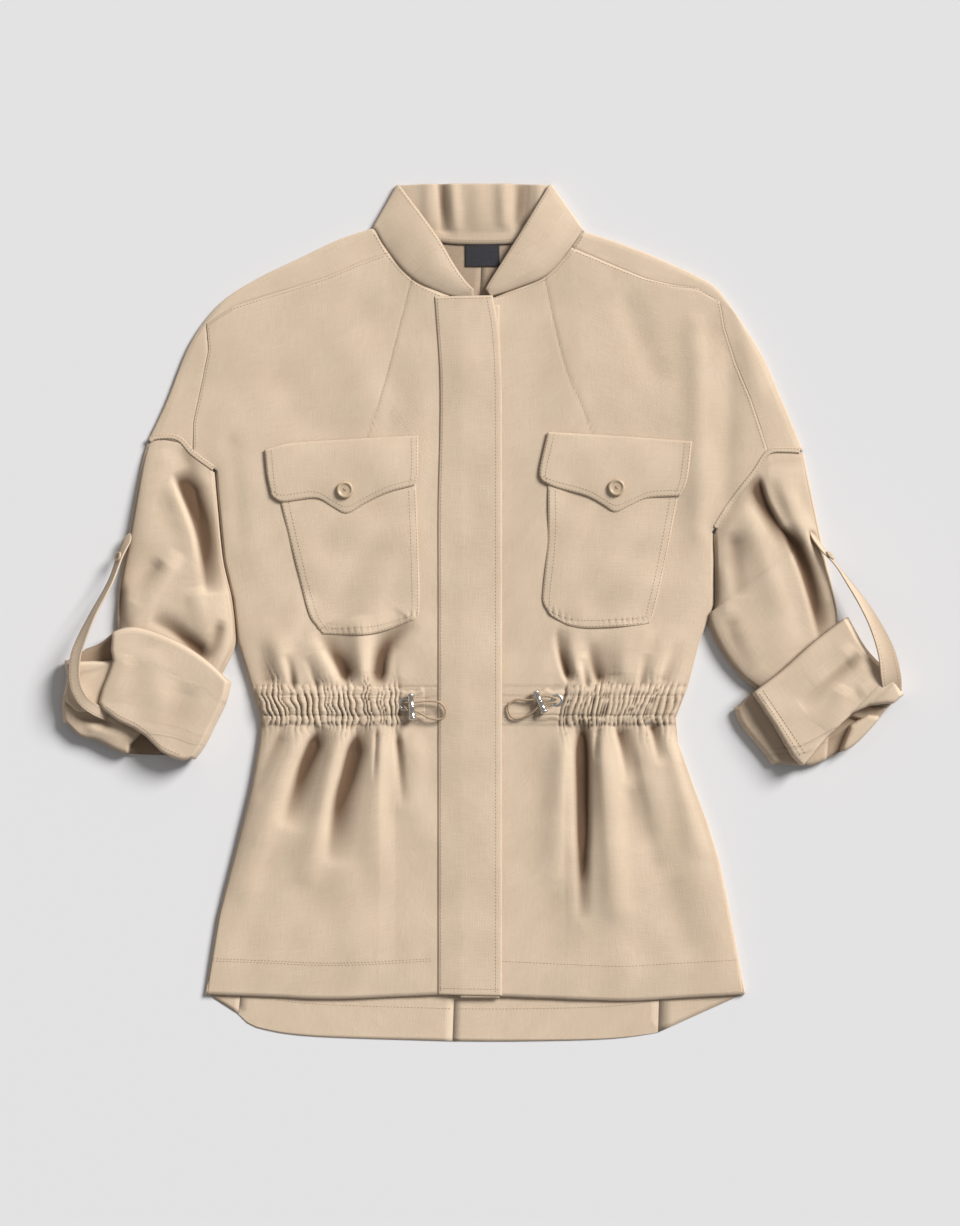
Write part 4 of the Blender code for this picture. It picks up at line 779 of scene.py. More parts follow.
FRONT_COLUMNS = 172
TURN_STEPS = 8
FOLD_SHADE = 1.3
HEM_INSETS = {"left": (29.0, 31.0), "right": (30.0,)}
CASING_ROWS = (-73.0, -87.0)
GATHERED_PITCH = 2.3
inward_of = {"left": 1.0, "right": -1.0}
front_y = np.concatenate([np.linspace(300, -34, 84), np.linspace(-35, -112, 78),
                          np.linspace(-114, -325, 60)])
for side in ("left", "right"):
    inward = inward_of[side]
    y_top = seam_stations(side)[1][0][1]
    y_side = np.concatenate([[y_top], front_y[front_y < y_top - 1]])
    shares = np.linspace(0, 1, FRONT_COLUMNS + 1)
    plan = front_plan(side, shares, y_side)
    on_side = y_side <= SIDE[side][0][1]
    plan[:, -1, 0] += inward * np.where(on_side, (EDGE_HEIGHT - WALL / 2) / 2 + WALL / 2, SEAM_GAP)
    z = body_height(side, plan[..., 0], plan[..., 1])
    z[on_side, -1] = EDGE_HEIGHT
    top = np.dstack([plan, z])
    rim = top[on_side, -1]
    turn = fold_under(rim[:, 0], rim[:, 1], rim[:, 2], np.tile([inward, 0.0], (len(rim), 1)), WALL / 2,
                      TURN_STEPS)
    width = table_at(WRAP[side], y_side[on_side])
    end = turn[:, -1].copy()
    end[:, 0] += inward * width
    end[:, 1] = wrapped_foot(side, end[:, 0], y_side[on_side])
    run = turn[:, -1:] + np.linspace(0, 1, 7)[None, 1:, None] * (end - turn[:, -1])[:, None]
    wrap = np.concatenate([rim[:, None], turn, run], axis=1)
    # Painted shade along the waist's creases: full where a crease is DEEP millimetres down, eased by the
    # power FOLD_SHADE
    shade_mask = np.clip(-drawn_folds(WAIST_CREASES, plan[..., 0], plan[..., 1]) / DEEP, 0, 1) ** FOLD_SHADE
    front = shell(f"front_panel_{side}", [top, wrap], linen, WALL, weld=True, flip=side == "right",
                  troughs=[shade_mask])
    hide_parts(f"front_{side}")
    for inset in HEM_INSETS[side]:
        stitched("body", inset_line(top, "top", inset, 0.07, 0.995), WALL / 2)
    for y in CASING_ROWS:
        line = [(GATHER_START[side] - CASING_REACH * inward * k, y) for k in np.linspace(-1.2, 0, 6)]
        stitched("body", on_body(side, line))
        far = edge_x(SIDE[side], y) + inward * 4
        line = np.column_stack([np.linspace(GATHER_START[side], far, 40), np.full(40, y)])
        stitched("body", on_body(side, line), WALL / 2, GATHERED_PITCH)
    stitched("body", on_body(side, STYLE_SEAM[side]))

BACK_COLUMNS = 24
SEAM_LAP = 2.6
CENTRE_GAP = 0.04
# Painted shade on the back's inside near the neck: its strength, and the y and width over which it grows
NECK_SHADE, NECK_SHADE_FROM, NECK_SHADE_WIDTH = 0.45, 258, 16
BACK_HEM_INSET = 27.5
LAP_DROP = 1.0
STRIP_SHARES = np.concatenate([[0, 0.05, 0.1, 0.115, 0.13, 0.15], np.linspace(0.2, 1, 10)])


def lapped(distance):
    """How far a seam allowance lies below the panel over it: all of it at the edge, none past the seam."""
    return LAP_DROP * (1 - np.clip((distance - SEAM_LAP + 0.2) / 0.6, 0, 1))


for side in ("left", "right"):
    inward = inward_of[side]
    along, down = seam_stations(side)
    seam = np.vstack([along, down[1:]])
    stations = np.linspace(0, 1, 70)
    outline = on_runs(spread(SHOULDER[side], np.linspace(0, 1, len(seam))), stations)
    station_run = np.linspace(0, 1, len(seam))
    sewn = np.column_stack([np.interp(stations, station_run, seam[:, k]) for k in (0, 1)])
    outline = spread(SHOULDER[side], stations)
    across = (sewn - outline) / np.linalg.norm(sewn - outline, axis=1)[:, None]
    edge = outline + across * ((EDGE_HEIGHT - WALL / 2) / 2 + WALL / 2)
    sewn = sewn + across * SEAM_LAP
    strip = sewn[:, None] + STRIP_SHARES[None, :, None] * (edge - sewn)[:, None]
    ease = np.clip((stations - 0.9) / 0.1, 0, 1)[:, None]
    strip[..., 1] += ease * (armhole_y(side, strip[..., 0]) - strip[..., 1]) * (stations == 1)[:, None]
    z = body_height(side, strip[..., 0], strip[..., 1], fine=False)
    z = z - lapped(np.linalg.norm(strip - strip[:, :1], axis=2))
    z[:, -1] = EDGE_HEIGHT
    strip = np.dstack([strip, z])
    turn = fold_under(strip[:, -1, 0], strip[:, -1, 1], z[:, -1], across, WALL / 2, TURN_STEPS)
    middle_top, middle_foot = np.array(CENTRE_BACK_TOP), np.array(CENTRE_BACK_FOOT)
    columns = np.linspace(0, 1, BACK_COLUMNS + 1)
    fall = (middle_top[1] - SHOULDER[side][-1][1]) * stations / (middle_top[1] - middle_foot[1])
    target = middle_top + (middle_foot - middle_top) * fall[:, None]
    flat = turn[:, -1, :2][:, None] + columns[None, :, None] * (target - turn[:, -1, :2])[:, None]
    neck = spread(BACK_NECK[side], columns) - np.array([0, SEAM_GAP])
    neck[0] = turn[0, -1, :2]
    neck_share = np.clip(1 - stations / 0.12, 0, 1)[:, None, None]
    flat = flat + (neck[None] - flat[:1]) * neck_share
    low_y = np.concatenate([np.linspace(SIDE[side][0][1] - 2, -325, 60)])
    start_x = edge_x(SIDE[side],
                     low_y) + inward * ((EDGE_HEIGHT + WALL / 2) / 2 + table_at(WRAP[side], low_y)
                                        + SEAM_GAP)
    start = np.column_stack([start_x, wrapped_foot(side, start_x, low_y)])
    fall = (middle_top[1] - low_y) / (middle_top[1] - middle_foot[1])
    target = middle_top + (middle_foot - middle_top) * fall[:, None]
    low = start[:, None] + columns[None, :, None] * (target - start)[:, None]
    hem_x = start_x[-1] + columns * (middle_foot[0] - start_x[-1])
    hem_row = np.column_stack([hem_x, y_on(BACK_HEM[side], hem_x)])[None]
    steps = np.linspace(0, 1, 14)[1:, None, None]
    hem_rows = low[-1:] + steps * (hem_row - low[-1:])
    flat = np.concatenate([flat, low, hem_rows])
    flat[:, -1, 0] -= inward * CENTRE_GAP * (flat[:, -1, 1] < 230)
    flat = np.dstack([flat, np.full(flat.shape[:2], WALL / 2)])
    top = np.concatenate([strip, turn], axis=1)
    # Painted shade on the back's inside below the collar, growing upwards
    inside = np.clip((flat[..., 1] - NECK_SHADE_FROM) / NECK_SHADE_WIDTH, 0, 1) * NECK_SHADE
    back = shell(f"back_panel_{side}", [top, flat], linen, WALL, weld=True, flip=side == "right",
                 troughs=[np.zeros(top.shape[:2]), inside])
    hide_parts(f"back_{side}")
    ridge = np.linspace(0.02, 0.985, 120)
    seam_line = on_runs(sewn - across * (SEAM_LAP - 2.2), ridge)
    stitched("body", np.column_stack([seam_line,
                                      body_height(side, seam_line[:, 0], seam_line[:, 1], False)]))
    hem_line = spread(BACK_HEM[side], np.linspace(0.32, 0.995, 80)) + [0, BACK_HEM_INSET]
    stitched("body", np.column_stack([hem_line, np.full(80, WALL / 2)]))

# ---- Sleeves -------------------------------------------------------------------------------------------
# Each sleeve is one linen tube laid flat, set in at the low armhole, soft and creased above its rolled cuff.
SLEEVE_INNER = {
    "left": ((-229, 119), (-227, 95), (-222, 44), (-214, 10), (-210, -26), (-220, -51), (-229, -70)),
    "right": ((197, 66), (198, 44), (198, 5), (192, -4), (195, -18), (205, -38), (218, -55), (233, -67),
              (246, -80)),
}
# Folds as the curve, height, width to its west and to its east, and how much wider it ends
SLEEVE_FOLDS = {
    "left": (
        (((-262, 118), (-250, 92), (-241, 68), (-236, 40), (-233, 14)), -10.0, 3.2, 13, 0.2),
        (((-266, 112), (-256, 86), (-248, 60), (-246, 28)), 3.4, 9, 4, 0.2),
        (((-256, 50), (-272, 26), (-290, -2), (-300, -12)), 4.0, 9, 7, 0.2),
        (((-250, 146), (-248, 124), (-252, 100)), -2.4, 9, 9, 0.2),
        (((-309, 26), (-309, 4), (-307, -20)), -6.0, 6, 5, 0.2),
        (((-232, -42), (-248, -28), (-264, -15), (-282, -6)), -7.0, 4, 8, 0.1),
        (((-272, 44), (-288, 22), (-296, 8)), -3.0, 6, 5, 0.3),
        (((-244, 22), (-240, 2), (-236, -20)), 2.8, 9, 8, 0.2),
        (((-222, -6), (-228, -32), (-236, -50)), -3.4, 5, 5, 0.2),
    ),
    "right": (
        (((232, 118), (238, 96), (248, 77), (258, 62), (266, 50)), -8.0, 9, 2.6, 0.1),
        (((253, 72), (262, 56), (272, 32), (280, 4), (286, -24)), -11.0, 2.6, 9, 0.4),
        (((220, 92), (234, 52), (250, 10), (262, -32)), 3.6, 11, 9, 0.2),
        (((250, 118), (264, 80), (280, 40), (292, 6)), 3.4, 6, 9, 0.0),
        (((212, 70), (215, 42), (217, 12)), -3.2, 7, 7, 0.2),
        (((276, 70), (283, 54), (292, 38)), -5.0, 2.4, 3.4, 0.2),
        (((206, 0), (214, -26), (228, -52)), -2.6, 6, 7, 0.2),
        (((200, 44), (204, 10), (214, -22)), 1.8, 5, 7, 0.2),
    ),
}
INNER_SHIFT = 1.3
SLEEVE_ROUNDING = 20.0
# Shares of the sleeve's length with the crest's height there, and with the lower layer's rise into the cuff
SLEEVE_CREST = ((0.0, 6.6), (0.3, 11.0), (0.7, 13.0), (1.0, 12.5))
SLEEVE_RISE = ((0.72, 0), (0.85, 2.45), (1, 2.45))
# The sleeve's top edge goes under the body's: how far, down to which share, and how far all round
TUCK, TUCK_SHARE, TUCK_ALL_ROUND = 3.2, 0.035, 0.9
LEVEL_GAP = 0.15


def sleeve_top(side, x, y, share, outer, inner):
    """Height of the sleeve's upper layer: fuller towards the cuff, rounded to both edges, with creases."""
    near = np.minimum(np.hypot(x - outer[..., 0], y - outer[..., 1]),
                      np.hypot(x - inner[..., 0], y - inner[..., 1]))
    crest = table_at(SLEEVE_CREST, share) + drawn_folds(SLEEVE_FOLDS[side], x,
                                                        y) + 0.6 * unevenness(x, y, 55, 8)
    return np.maximum(EDGE_HEIGHT * 0.8,
                      EDGE_HEIGHT + (crest - EDGE_HEIGHT) * rounded(near, SLEEVE_ROUNDING))


def sleeve_grid(side, rows=140, columns=84):
    """Closed sections of a flattened tube: upper layer, half turn, lower layer, half turn."""
    shares = np.linspace(0, 1, rows)
    outer, inner = spread(SLEEVE_OUTER[side], shares), spread(SLEEVE_INNER[side], shares)
    inner[:, 0] += inward_of[side] * INNER_SHIFT * np.clip(1 - (shares - 0.55) / 0.2, 0, 1)
    lowered = np.clip(1 - shares / 0.05, 0, 1) * 1.2
    outer[:, 1] -= lowered
    inner[:, 1] -= lowered
    across = (inner - outer) / np.linalg.norm(inner - outer, axis=1)[:, None]
    bottom = WALL / 2 + table_at(SLEEVE_RISE, shares)
    radius = (EDGE_HEIGHT - WALL / 2) / 2
    a, b = outer + across * (radius + WALL / 2), inner - across * (radius + WALL / 2)
    u = np.linspace(0, 1, columns)[None, :, None]
    plan = a[:, None] + u * (b - a)[:, None]
    chord = plan[..., 1]
    shift = np.clip(1 - shares / 0.2, 0, 1)[:, None] * (armhole_y(side, plan[..., 0]) - chord[:1])
    z = sleeve_top(side, plan[..., 0], plan[..., 1] + shift, shares[:, None], outer[:, None], inner[:, None])
    plan[..., 1] += shift * np.sin(math.pi * u[..., 0]) ** 0.3
    tucked = np.clip(1 - shares / TUCK_SHARE, 0, 1)[:, None]
    plan[..., 1] += TUCK * (tucked
                            * np.clip(np.sin(math.pi * u[..., 0]) * 4, 0, 1)) + TUCK_ALL_ROUND * tucked
    near = np.clip((shares[:, None] - 0.0105) / 0.008, 0, 1)
    joined = body_height(side, plan[..., 0], plan[..., 1], fine=False)
    joined = joined - LEVEL_GAP - (LAP_DROP - LEVEL_GAP) * (1 - near)
    ease = np.clip((shares[:, None] - 0.012) / 0.075, 0, 1)
    ease = ease * ease * (3 - 2 * ease)
    z = joined * (1 - ease) + z * ease
    z[:, 0] = z[:, -1] = bottom + 2 * radius
    turns = []
    for corner, sign in ((b, -1.0), (a, 1.0)):
        turns.append(np.stack([fold_under(corner[k:k + 1, 0], corner[k:k + 1, 1],
                                          bottom[k:k + 1] + 2 * radius,
                                          sign * across[k:k + 1], bottom[k], TURN_STEPS)[0]
                                          for k in range(rows)]))
    low_u = np.linspace(0, 1, 14)[None, 1:-1, None]
    low = b[:, None] + low_u * (a - b)[:, None]
    low = np.dstack([low, np.broadcast_to(bottom[:, None], low.shape[:2])])
    ring = np.concatenate([np.dstack([plan, z]), turns[0], low, turns[1][:, ::-1]], axis=1)
    # Painted shade in the upper layer's creases
    shade_mask = np.zeros(ring.shape[:2])
    shade_mask[:, :columns] = np.clip(-drawn_folds(SLEEVE_FOLDS[side], plan[..., 0], plan[..., 1]) / DEEP, 0, 1)
    return ring, shade_mask


for side in ("left", "right"):
    ring, shade_mask = sleeve_grid(side)
    sleeve = shell(f"sleeve_cloth_{side}", [ring], linen, WALL, closed=True, flip=side == "right",
                   troughs=[shade_mask])
    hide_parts(f"sleeve_{side}")

# ---- Armhole seams -------------------------------------------------------------------------------------
# The flat-felled seams that join the sleeves to the body: narrow raised bands of folded linen, stitched.
SEAM_BAND, SEAM_RISE, SEAM_WALL = 4.6, 0.75, 0.5
SEAM_STITCHES = 0.62
for side in ("left", "right"):
    line = spread(ARMHOLE[side], np.linspace(0.03, 0.97, 90))
    way = np.gradient(line, axis=0)
    way = way / np.linalg.norm(way, axis=1)[:, None]
    across = np.column_stack([-way[:, 1], way[:, 0]])
    share = np.linspace(-1, 1, 9)
    plan = line[:, None] + across[:, None] * share[None, :, None] * SEAM_BAND / 2
    z = body_height(side, plan[..., 0], plan[..., 1], fine=False) + SEAM_RISE * (1 - 0.75 * share ** 4)[None]
    shell(f"armhole_seam_{side}", [np.dstack([plan, z])], linen, SEAM_WALL, flip=side == "right")
    for offset in (-SEAM_STITCHES, SEAM_STITCHES):
        row = line + across * offset * SEAM_BAND / 2
        level = body_height(side, row[:, 0], row[:, 1], fine=False) + SEAM_RISE * 0.9
        stitched("body", np.column_stack([row, level]), SEAM_WALL / 2)

# ---- Rolled cuffs --------------------------------------------------------------------------------------
# The sleeve's end is turned up twice: several linen layers, a rolled rim above, an open mouth below, and the
# back layers reaching out past the front ones.
CUFF_WALL = 2.0
# How soft the layers' edges and the rims are, and how much of a layer's drop its edge gets
LAYER_ROUNDING, LAYER_DROP, LAYER_STEP = 3.5, 0.7, 0.7
RIM_ROUNDING, RIM_DROP, LEAST_CUFF = 3.4, 3.2, 3.6
# Painted shade of the layers below, of the cuffs' creases and of their hollows
INNER_LEVEL, INNER_DEPTH, INNER_SHADE, CUFF_FOLD_DEPTH, CUFF_SHADE = 3, 14, 0.8, 7, 0.45
# Each cuff's outline, and the layers over its back one: outline, height and the height its rolled edge loses
CUFF = {
    "left": {
        "rim": ((-351, -42), (-340, -34), (-325, -28), (-312, -18), (-299, -14), (-287, -15), (-269, -21),
                (-251, -30),
                (-230, -45), (-217, -58)),
        "mouth": ((-352, -94), (-341, -105), (-326, -109), (-302, -120), (-269, -122), (-254, -125),
                  (-247, -123)),
        "left": ((-351, -42), (-349, -57), (-353, -78), (-352, -94)),
        "right": ((-217, -58), (-221, -75), (-230, -94), (-239, -112), (-247, -123)),
        "bulge_left": (-3.0, 0.0), "bulge_right": (3.0, -1.5), "back_height": 12.0,
        "layers": (
            (((-345, -37), (-330, -28), (-312, -18), (-313, -42), (-330, -44), (-346, -45)), 6.5, 0.0),
            (((-352, -44), (-330, -43), (-308, -44), (-300, -80), (-326, -84), (-343, -84), (-352, -76)),
             17.0, 2.0),
            (((-302, -124), (-300, -113), (-290, -102), (-276, -108), (-262, -124)), 4.5, 0.0),
            (((-313, -14), (-299, -10), (-287, -11), (-269, -17), (-251, -26), (-230, -41), (-212, -56),
              (-213, -64),
              (-219, -76), (-228, -94), (-237, -112), (-243, -124), (-254, -128), (-272, -118), (-284, -106),
              (-295, -98), (-308, -92), (-320, -83), (-324, -77), (-321, -66), (-316, -54), (-312, -42),
              (-314, -33), (-313, -22)), 22.0, 3.0),
        ),
        "folds": (
            (((-312, -96), (-330, -92), (-346, -88)), -4.0, 4, 4, 0.2),
            (((-338, -96), (-320, -102), (-300, -108)), 2.4, 5, 5, 0.2),
            (((-345, -60), (-338, -72), (-330, -82)), 1.6, 5, 6, 0.2),
            (((-300, -36), (-310, -60), (-312, -76)), 1.4, 7, 7, 0.2),
            (((-250, -60), (-258, -84), (-268, -106)), -1.6, 10, 12, 0.2),
            (((-282, -30), (-278, -60), (-282, -90)), 1.2, 12, 10, 0.2),
        ),
    },
    "right": {
        "rim": ((217, -81), (229, -69), (252, -51), (280, -26), (305, -7)),
        "mouth": ((249, -128), (272, -130), (284, -128), (305, -118), (317, -110), (332, -94), (340, -84),
                  (352, -72)),
        "left": ((217, -81), (222, -94), (239, -115), (249, -128)),
        "right": ((305, -7), (318, -30), (330, -44), (342, -54), (352, -72)),
        "bulge_left": (-3.0, -1.0), "bulge_right": (3.5, 1.5), "back_height": 9.0,
        "layers": (
            (((290, -130), (292, -104), (301, -95), (312, -88), (324, -92), (316, -108), (302, -122)), 4.5,
             0.0),
            (((324, -76), (330, -82), (344, -82), (350, -74), (340, -70)), 6.0, 0.0),
            (((302, -122), (312, -97), (326, -88), (338, -90), (330, -102), (316, -114)), 13.0, 3.0),
            (((227, -66), (252, -45), (280, -20), (306, -1), (322, -28), (334, -42), (346, -52), (357, -70),
              (350, -77),
              (341, -77), (326, -79), (311, -86), (301, -96), (290, -106), (275, -124), (270, -130),
              (262, -122),
              (246, -95)), 21.0, 2.6),
        ),
        "folds": (
            (((318, -36), (302, -50), (284, -66), (268, -80)), -4.2, 5, 6, 0.2),
            (((312, -28), (296, -44), (276, -60)), 1.8, 6, 6, 0.2),
            (((306, -62), (298, -80), (286, -98)), 2.0, 8, 8, 0.3),
            (((322, -34), (332, -52), (344, -66)), -2.2, 5, 6, 0.2),
            (((236, -76), (252, -100), (268, -124)), 1.2, 3, 3, 0.0),
            (((316, -70), (330, -62), (345, -60)), 1.6, 6, 6, 0.2),
        ),
    },
}


# Stitched rows that show on the cuffs, in plan
CUFF_SEAMS = {
    "left": (((-318, -80), (-307, -88), (-294, -94), (-283, -102), (-271, -114), (-256, -121)),),
    "right": (((236, -66), (254, -93), (272, -120)), ((233, -69), (251, -95), (268, -122))),
}


def patch(bottom, top, left, right, across, along):
    """A plan grid bounded by four curves (a Coons patch): both rulings less the blend of their corners."""
    u = across if hasattr(across, "__len__") else np.linspace(0, 1, across)
    v = along if hasattr(along, "__len__") else np.linspace(0, 1, along)
    low, high = spread(bottom, u)[None], spread(top, u)[None]
    start, end = spread(left, v)[:, None], spread(right, v)[:, None]
    u, v = u[None, :, None], v[:, None, None]
    corners = (1 - v) * ((1 - u) * low[:, :1] + u * low[:, -1:]) + v * ((1 - u) * high[:, :1]
                                                                        + u * high[:, -1:])
    return (1 - v) * low + v * high + (1 - u) * start + u * end - corners


def between(start, end, bulge, steps):
    """Side walls from one edge to another, bowed outwards by the bulge."""
    t = np.linspace(0, 1, steps + 2)[None, 1:-1, None]
    return start[:, None] + t * (end - start)[:, None] + np.sin(math.pi * t) * np.array([*bulge, 0.0])


def inside_of(points, x, y):
    """Distance in plan to a closed outline of straight runs, positive inside it and negative outside."""
    points = np.asarray(points, float)
    best, crossings = np.full(x.shape, FAR), np.zeros(x.shape, int)
    for a, b in zip(points, np.roll(points, -1, axis=0)):
        way = b - a
        share = np.clip(((x - a[0]) * way[0] + (y - a[1]) * way[1]) / (way @ way), 0, 1)
        best = np.minimum(best, np.hypot(x - a[0] - share * way[0], y - a[1] - share * way[1]))
        rises = (a[1] > y) != (b[1] > y)
        crossings += rises & (x < a[0] + (y - a[1]) * way[0] / (way[1] if way[1] else 1e-9))
    return np.where(crossings % 2 == 1, best, -best)


CUFF_UNDER, CUFF_SIDE = 40, 14


def cuff_grid(side, rows=96, columns=120):
    """Rings from rim to mouth: upper surface with its layers, right wall, lower layer, left wall."""
    table = CUFF[side]
    plan = patch(table["rim"], table["mouth"], table["left"], table["right"], columns, rows)
    x, y = plan[..., 0], plan[..., 1]
    z = np.full(x.shape, table["back_height"])
    for outline, height, drop in table["layers"]:
        depth = inside_of(outline, x, y)
        level = height - LAYER_DROP * drop * (1 - rounded(depth, LAYER_ROUNDING))
        share = np.clip((depth + LAYER_STEP) / (2 * LAYER_STEP), 0, 1)
        z = z + (level - z) * share * share * (3 - 2 * share)
    z = z + drawn_folds(table["folds"], x, y) + 0.5 * unevenness(x, y, 40, 21)
    to_rim = np.minimum(np.linspace(0, 1, rows), np.linspace(1, 0, rows))[:, None] * 80
    z = np.maximum(z - RIM_DROP * (1 - rounded(to_rim, RIM_ROUNDING)), LEAST_CUFF)
    top = np.dstack([plan, z])
    low = np.dstack([patch(table["rim"], table["mouth"], table["left"], table["right"], CUFF_UNDER, rows),
                     np.full((rows, CUFF_UNDER), CUFF_WALL / 2)])
    right = between(top[:, -1], low[:, -1], table["bulge_right"], CUFF_SIDE)
    left = between(low[:, 0], top[:, 0], table["bulge_left"], CUFF_SIDE)
    ring = np.concatenate([top, right, low[:, ::-1], left], axis=1)
    # Painted shade: the lower a layer lies under the top one, the darker, and darker again in the creases
    shade_mask = np.zeros(ring.shape[:2])
    shade_mask[:, :columns] = np.maximum(np.clip((table["back_height"] + INNER_LEVEL - z) / INNER_DEPTH, 0,
                                           INNER_SHADE),
                                   np.clip(-drawn_folds(table["folds"], x, y) / CUFF_FOLD_DEPTH, 0, 1))
    return ring, shade_mask, top


for side in ("left", "right"):
    ring, shade_mask, top = cuff_grid(side)
    cuff = shell(f"rolled_cuff_{side}", [ring], linen, CUFF_WALL, closed=True, troughs=[shade_mask],
                 shade=CUFF_SHADE)
    for line in CUFF_SEAMS[side]:
        line = spread(line, np.linspace(0, 1, 60))
        away = np.hypot(top[..., 0].ravel()[:, None] - line[:, 0], top[..., 1].ravel()[:, None] - line[:, 1])
        stitched("cuffs", np.column_stack([line, top[..., 2].ravel()[away.argmin(axis=0)]]),
                 CUFF_WALL / 2 + 0.1)
    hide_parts(f"cuff_{side}")

# ---- Collar and neck -----------------------------------------------------------------------------------
# A stand collar of two linen layers. Its fronts lie folded over at the corners, its back lies open,
# inside up, with a small woven label below its seam. The label is left bare.
COLLAR_SEAM = {
    "left": ((-8, 269), (-22, 269), (-37, 273), (-60, 285), (-79, 306), (-91, 326)),
    "right": ((5, 269), (27, 276), (53, 287), (73, 309), (83, 324)),
}
COLLAR_EDGE = {
    "left": ((-8, 273), (-14, 279), (-24, 293), (-40, 320), (-71, 362)),
    "right": ((2, 273), (6, 280), (14, 293), (32, 322), (56, 362)),
}
COLLAR_TIP = {"left": ((-8, 269), (-8, 273)), "right": ((5, 269), (2, 273))}
COLLAR_FOLD = {"left": ((-91, 326), (-71, 362)), "right": ((83, 324), (56, 362))}
COLLAR_BACK_SEAM = ((-91, 326), (-60, 320), (-30, 315), (-1, 314), (28, 315), (55, 319), (83, 324))
COLLAR_BACK_EDGE = ((-71, 362), (-40, 363), (0, 363), (30, 363), (56, 362))
COLLAR_FRONT_HEIGHT = 6.8
COLLAR_BACK_HEIGHT = WALL / 2
COLLAR_WAVES = (
    (-36, 366, -33, 322, -4.6, 4.0), (-47, 366, -46, 326, 2.0, 6), (-26, 366, -23, 322, 2.8, 5),
    (-5, 366, -4, 322, 1.6, 9), (17, 366, 18, 326, 2.6, 6), (34, 366, 31, 324, -4.6, 8),
    (49, 366, 47, 330, 2.6, 5),
)
COLLAR_LAP = 2.4
# Painted shade laid evenly over all of the back stand
COLLAR_SHADE = 0.12
WING_LIFT = 3.4
COLLAR_ROWS, WING_COLUMNS, STAND_COLUMNS = 36, 60, 110
WING_WIDTH = 40
COLLAR_SEAM_INSET = 2.6
collar_sides = []
for side in ("left", "right"):
    wing = patch(COLLAR_SEAM[side], COLLAR_EDGE[side], COLLAR_TIP[side], COLLAR_FOLD[side], WING_COLUMNS,
                 COLLAR_ROWS)
    depth, rise = np.linspace(0, 1, WING_COLUMNS)[None], np.linspace(0, 1, COLLAR_ROWS)[:, None]
    z = COLLAR_FRONT_HEIGHT - 0.3 + WING_LIFT * np.sin(0.72 * math.pi
                                                       * rise) * np.sin(math.pi * depth) ** 0.6
    z = z - 1.3 * depth ** 3 - 1.6 * (1
                                      - rounded(rise * WING_WIDTH,
                                                2.5)) - 0.8 * (1 - rounded((1 - rise) * WING_WIDTH, 2.0))
    wing = np.dstack([wing, z + 0.3 * unevenness(wing[..., 0], wing[..., 1], 35, 31)])
    seam_way = wing[0, :, :2] - wing[3, :, :2]
    for row, part in ((0, 1.0), (1, 0.5)):
        wing[row, :, :2] += part * COLLAR_LAP * seam_way / np.linalg.norm(seam_way, axis=1)[:, None]
    fold = wing[:, -1]
    inwards = np.tile([inward_of[side], 0.0], (COLLAR_ROWS, 1))
    turn = fold_under(fold[:, 0], fold[:, 1], fold[:, 2], inwards, COLLAR_BACK_HEIGHT, 10)[:, :-1]
    collar_sides.append(np.concatenate([wing, turn], axis=1))
stand = patch(COLLAR_BACK_SEAM, COLLAR_BACK_EDGE, COLLAR_FOLD["left"], COLLAR_FOLD["right"], STAND_COLUMNS,
              COLLAR_ROWS)
share = np.linspace(0, 1, STAND_COLUMNS)[None]
rise = np.linspace(0, 1, COLLAR_ROWS)[:, None]
swell = np.sin(math.pi * share) ** 0.5 * np.sin(0.15 + 2.0 * rise)
waves = 3.6 + relief(COLLAR_WAVES, stand[..., 0], stand[..., 1])
seat = 1.4 * np.clip(1 - rise * 6, 0, 1) * np.clip(np.sin(math.pi * share) * 6, 0, 1)
stand = np.dstack([stand, COLLAR_BACK_HEIGHT + np.maximum(waves, 0) * swell + seat])
stand[0, :, 1] -= 2.2 * np.clip(np.sin(math.pi * share[0]) * 6, 0, 1)
band = np.concatenate([collar_sides[0], stand, collar_sides[1][:, ::-1]], axis=1)
shade_mask = [np.zeros(part.shape[:2]) for part in collar_sides]
# Painted shade in the valleys of the stand's waves, on top of the even painted shade
stand_shade = np.clip(0.5 - waves / 5, 0, 1) * swell + COLLAR_SHADE
shaded = np.concatenate([shade_mask[0], stand_shade, shade_mask[1]], axis=1)
collar = shell("stand_collar", [band], linen, WALL, flip=True, troughs=[shaded])
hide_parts("collar")
for wing in (collar_sides[0][:, :WING_COLUMNS], collar_sides[1][:, :WING_COLUMNS]):
    stitched("collar", inset_line(wing, "top", COLLAR_SEAM_INSET, 0.02, 0.99))
    below = inset_line(wing, "foot", 0.4, 0.02, 0.99)
    outward = wing[0, :, :2] - wing[3, :, :2]
    outward = on_runs(outward, np.linspace(0.02, 0.99, len(below)))
    plan = below[:, :2] + COLLAR_SEAM_INSET * outward / np.linalg.norm(outward, axis=1)[:, None]
    stitched("collar", np.column_stack([plan, np.maximum(body_height("left", *plan.T, False),
                                                         body_height("right", *plan.T, False))]))
stitched("collar", inset_line(stand, "foot", 3.4, 0.14, 0.86))

TRIM_WALL = 0.9
LABEL_EDGES = (((-15, 293), (14, 293)), ((-15, 312), (14, 312)), ((-15, 293), (-15, 312)),
               ((14, 293), (14, 312)))
satin = cloth_material("label_satin", (0.022, 0.021, 0.026), (0.050, 0.046, 0.052), 0.55, 4200.0, 0.0001)
label_plan = patch(*LABEL_EDGES, 40, 26)
label_z = WALL + LAY_GAP + TRIM_WALL / 2 + 0.25 * unevenness(label_plan[..., 0], label_plan[..., 1], 30, 41)
label = shell("woven_label", [np.dstack([label_plan, label_z])], satin, TRIM_WALL, flip=True)
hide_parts("neck_label")

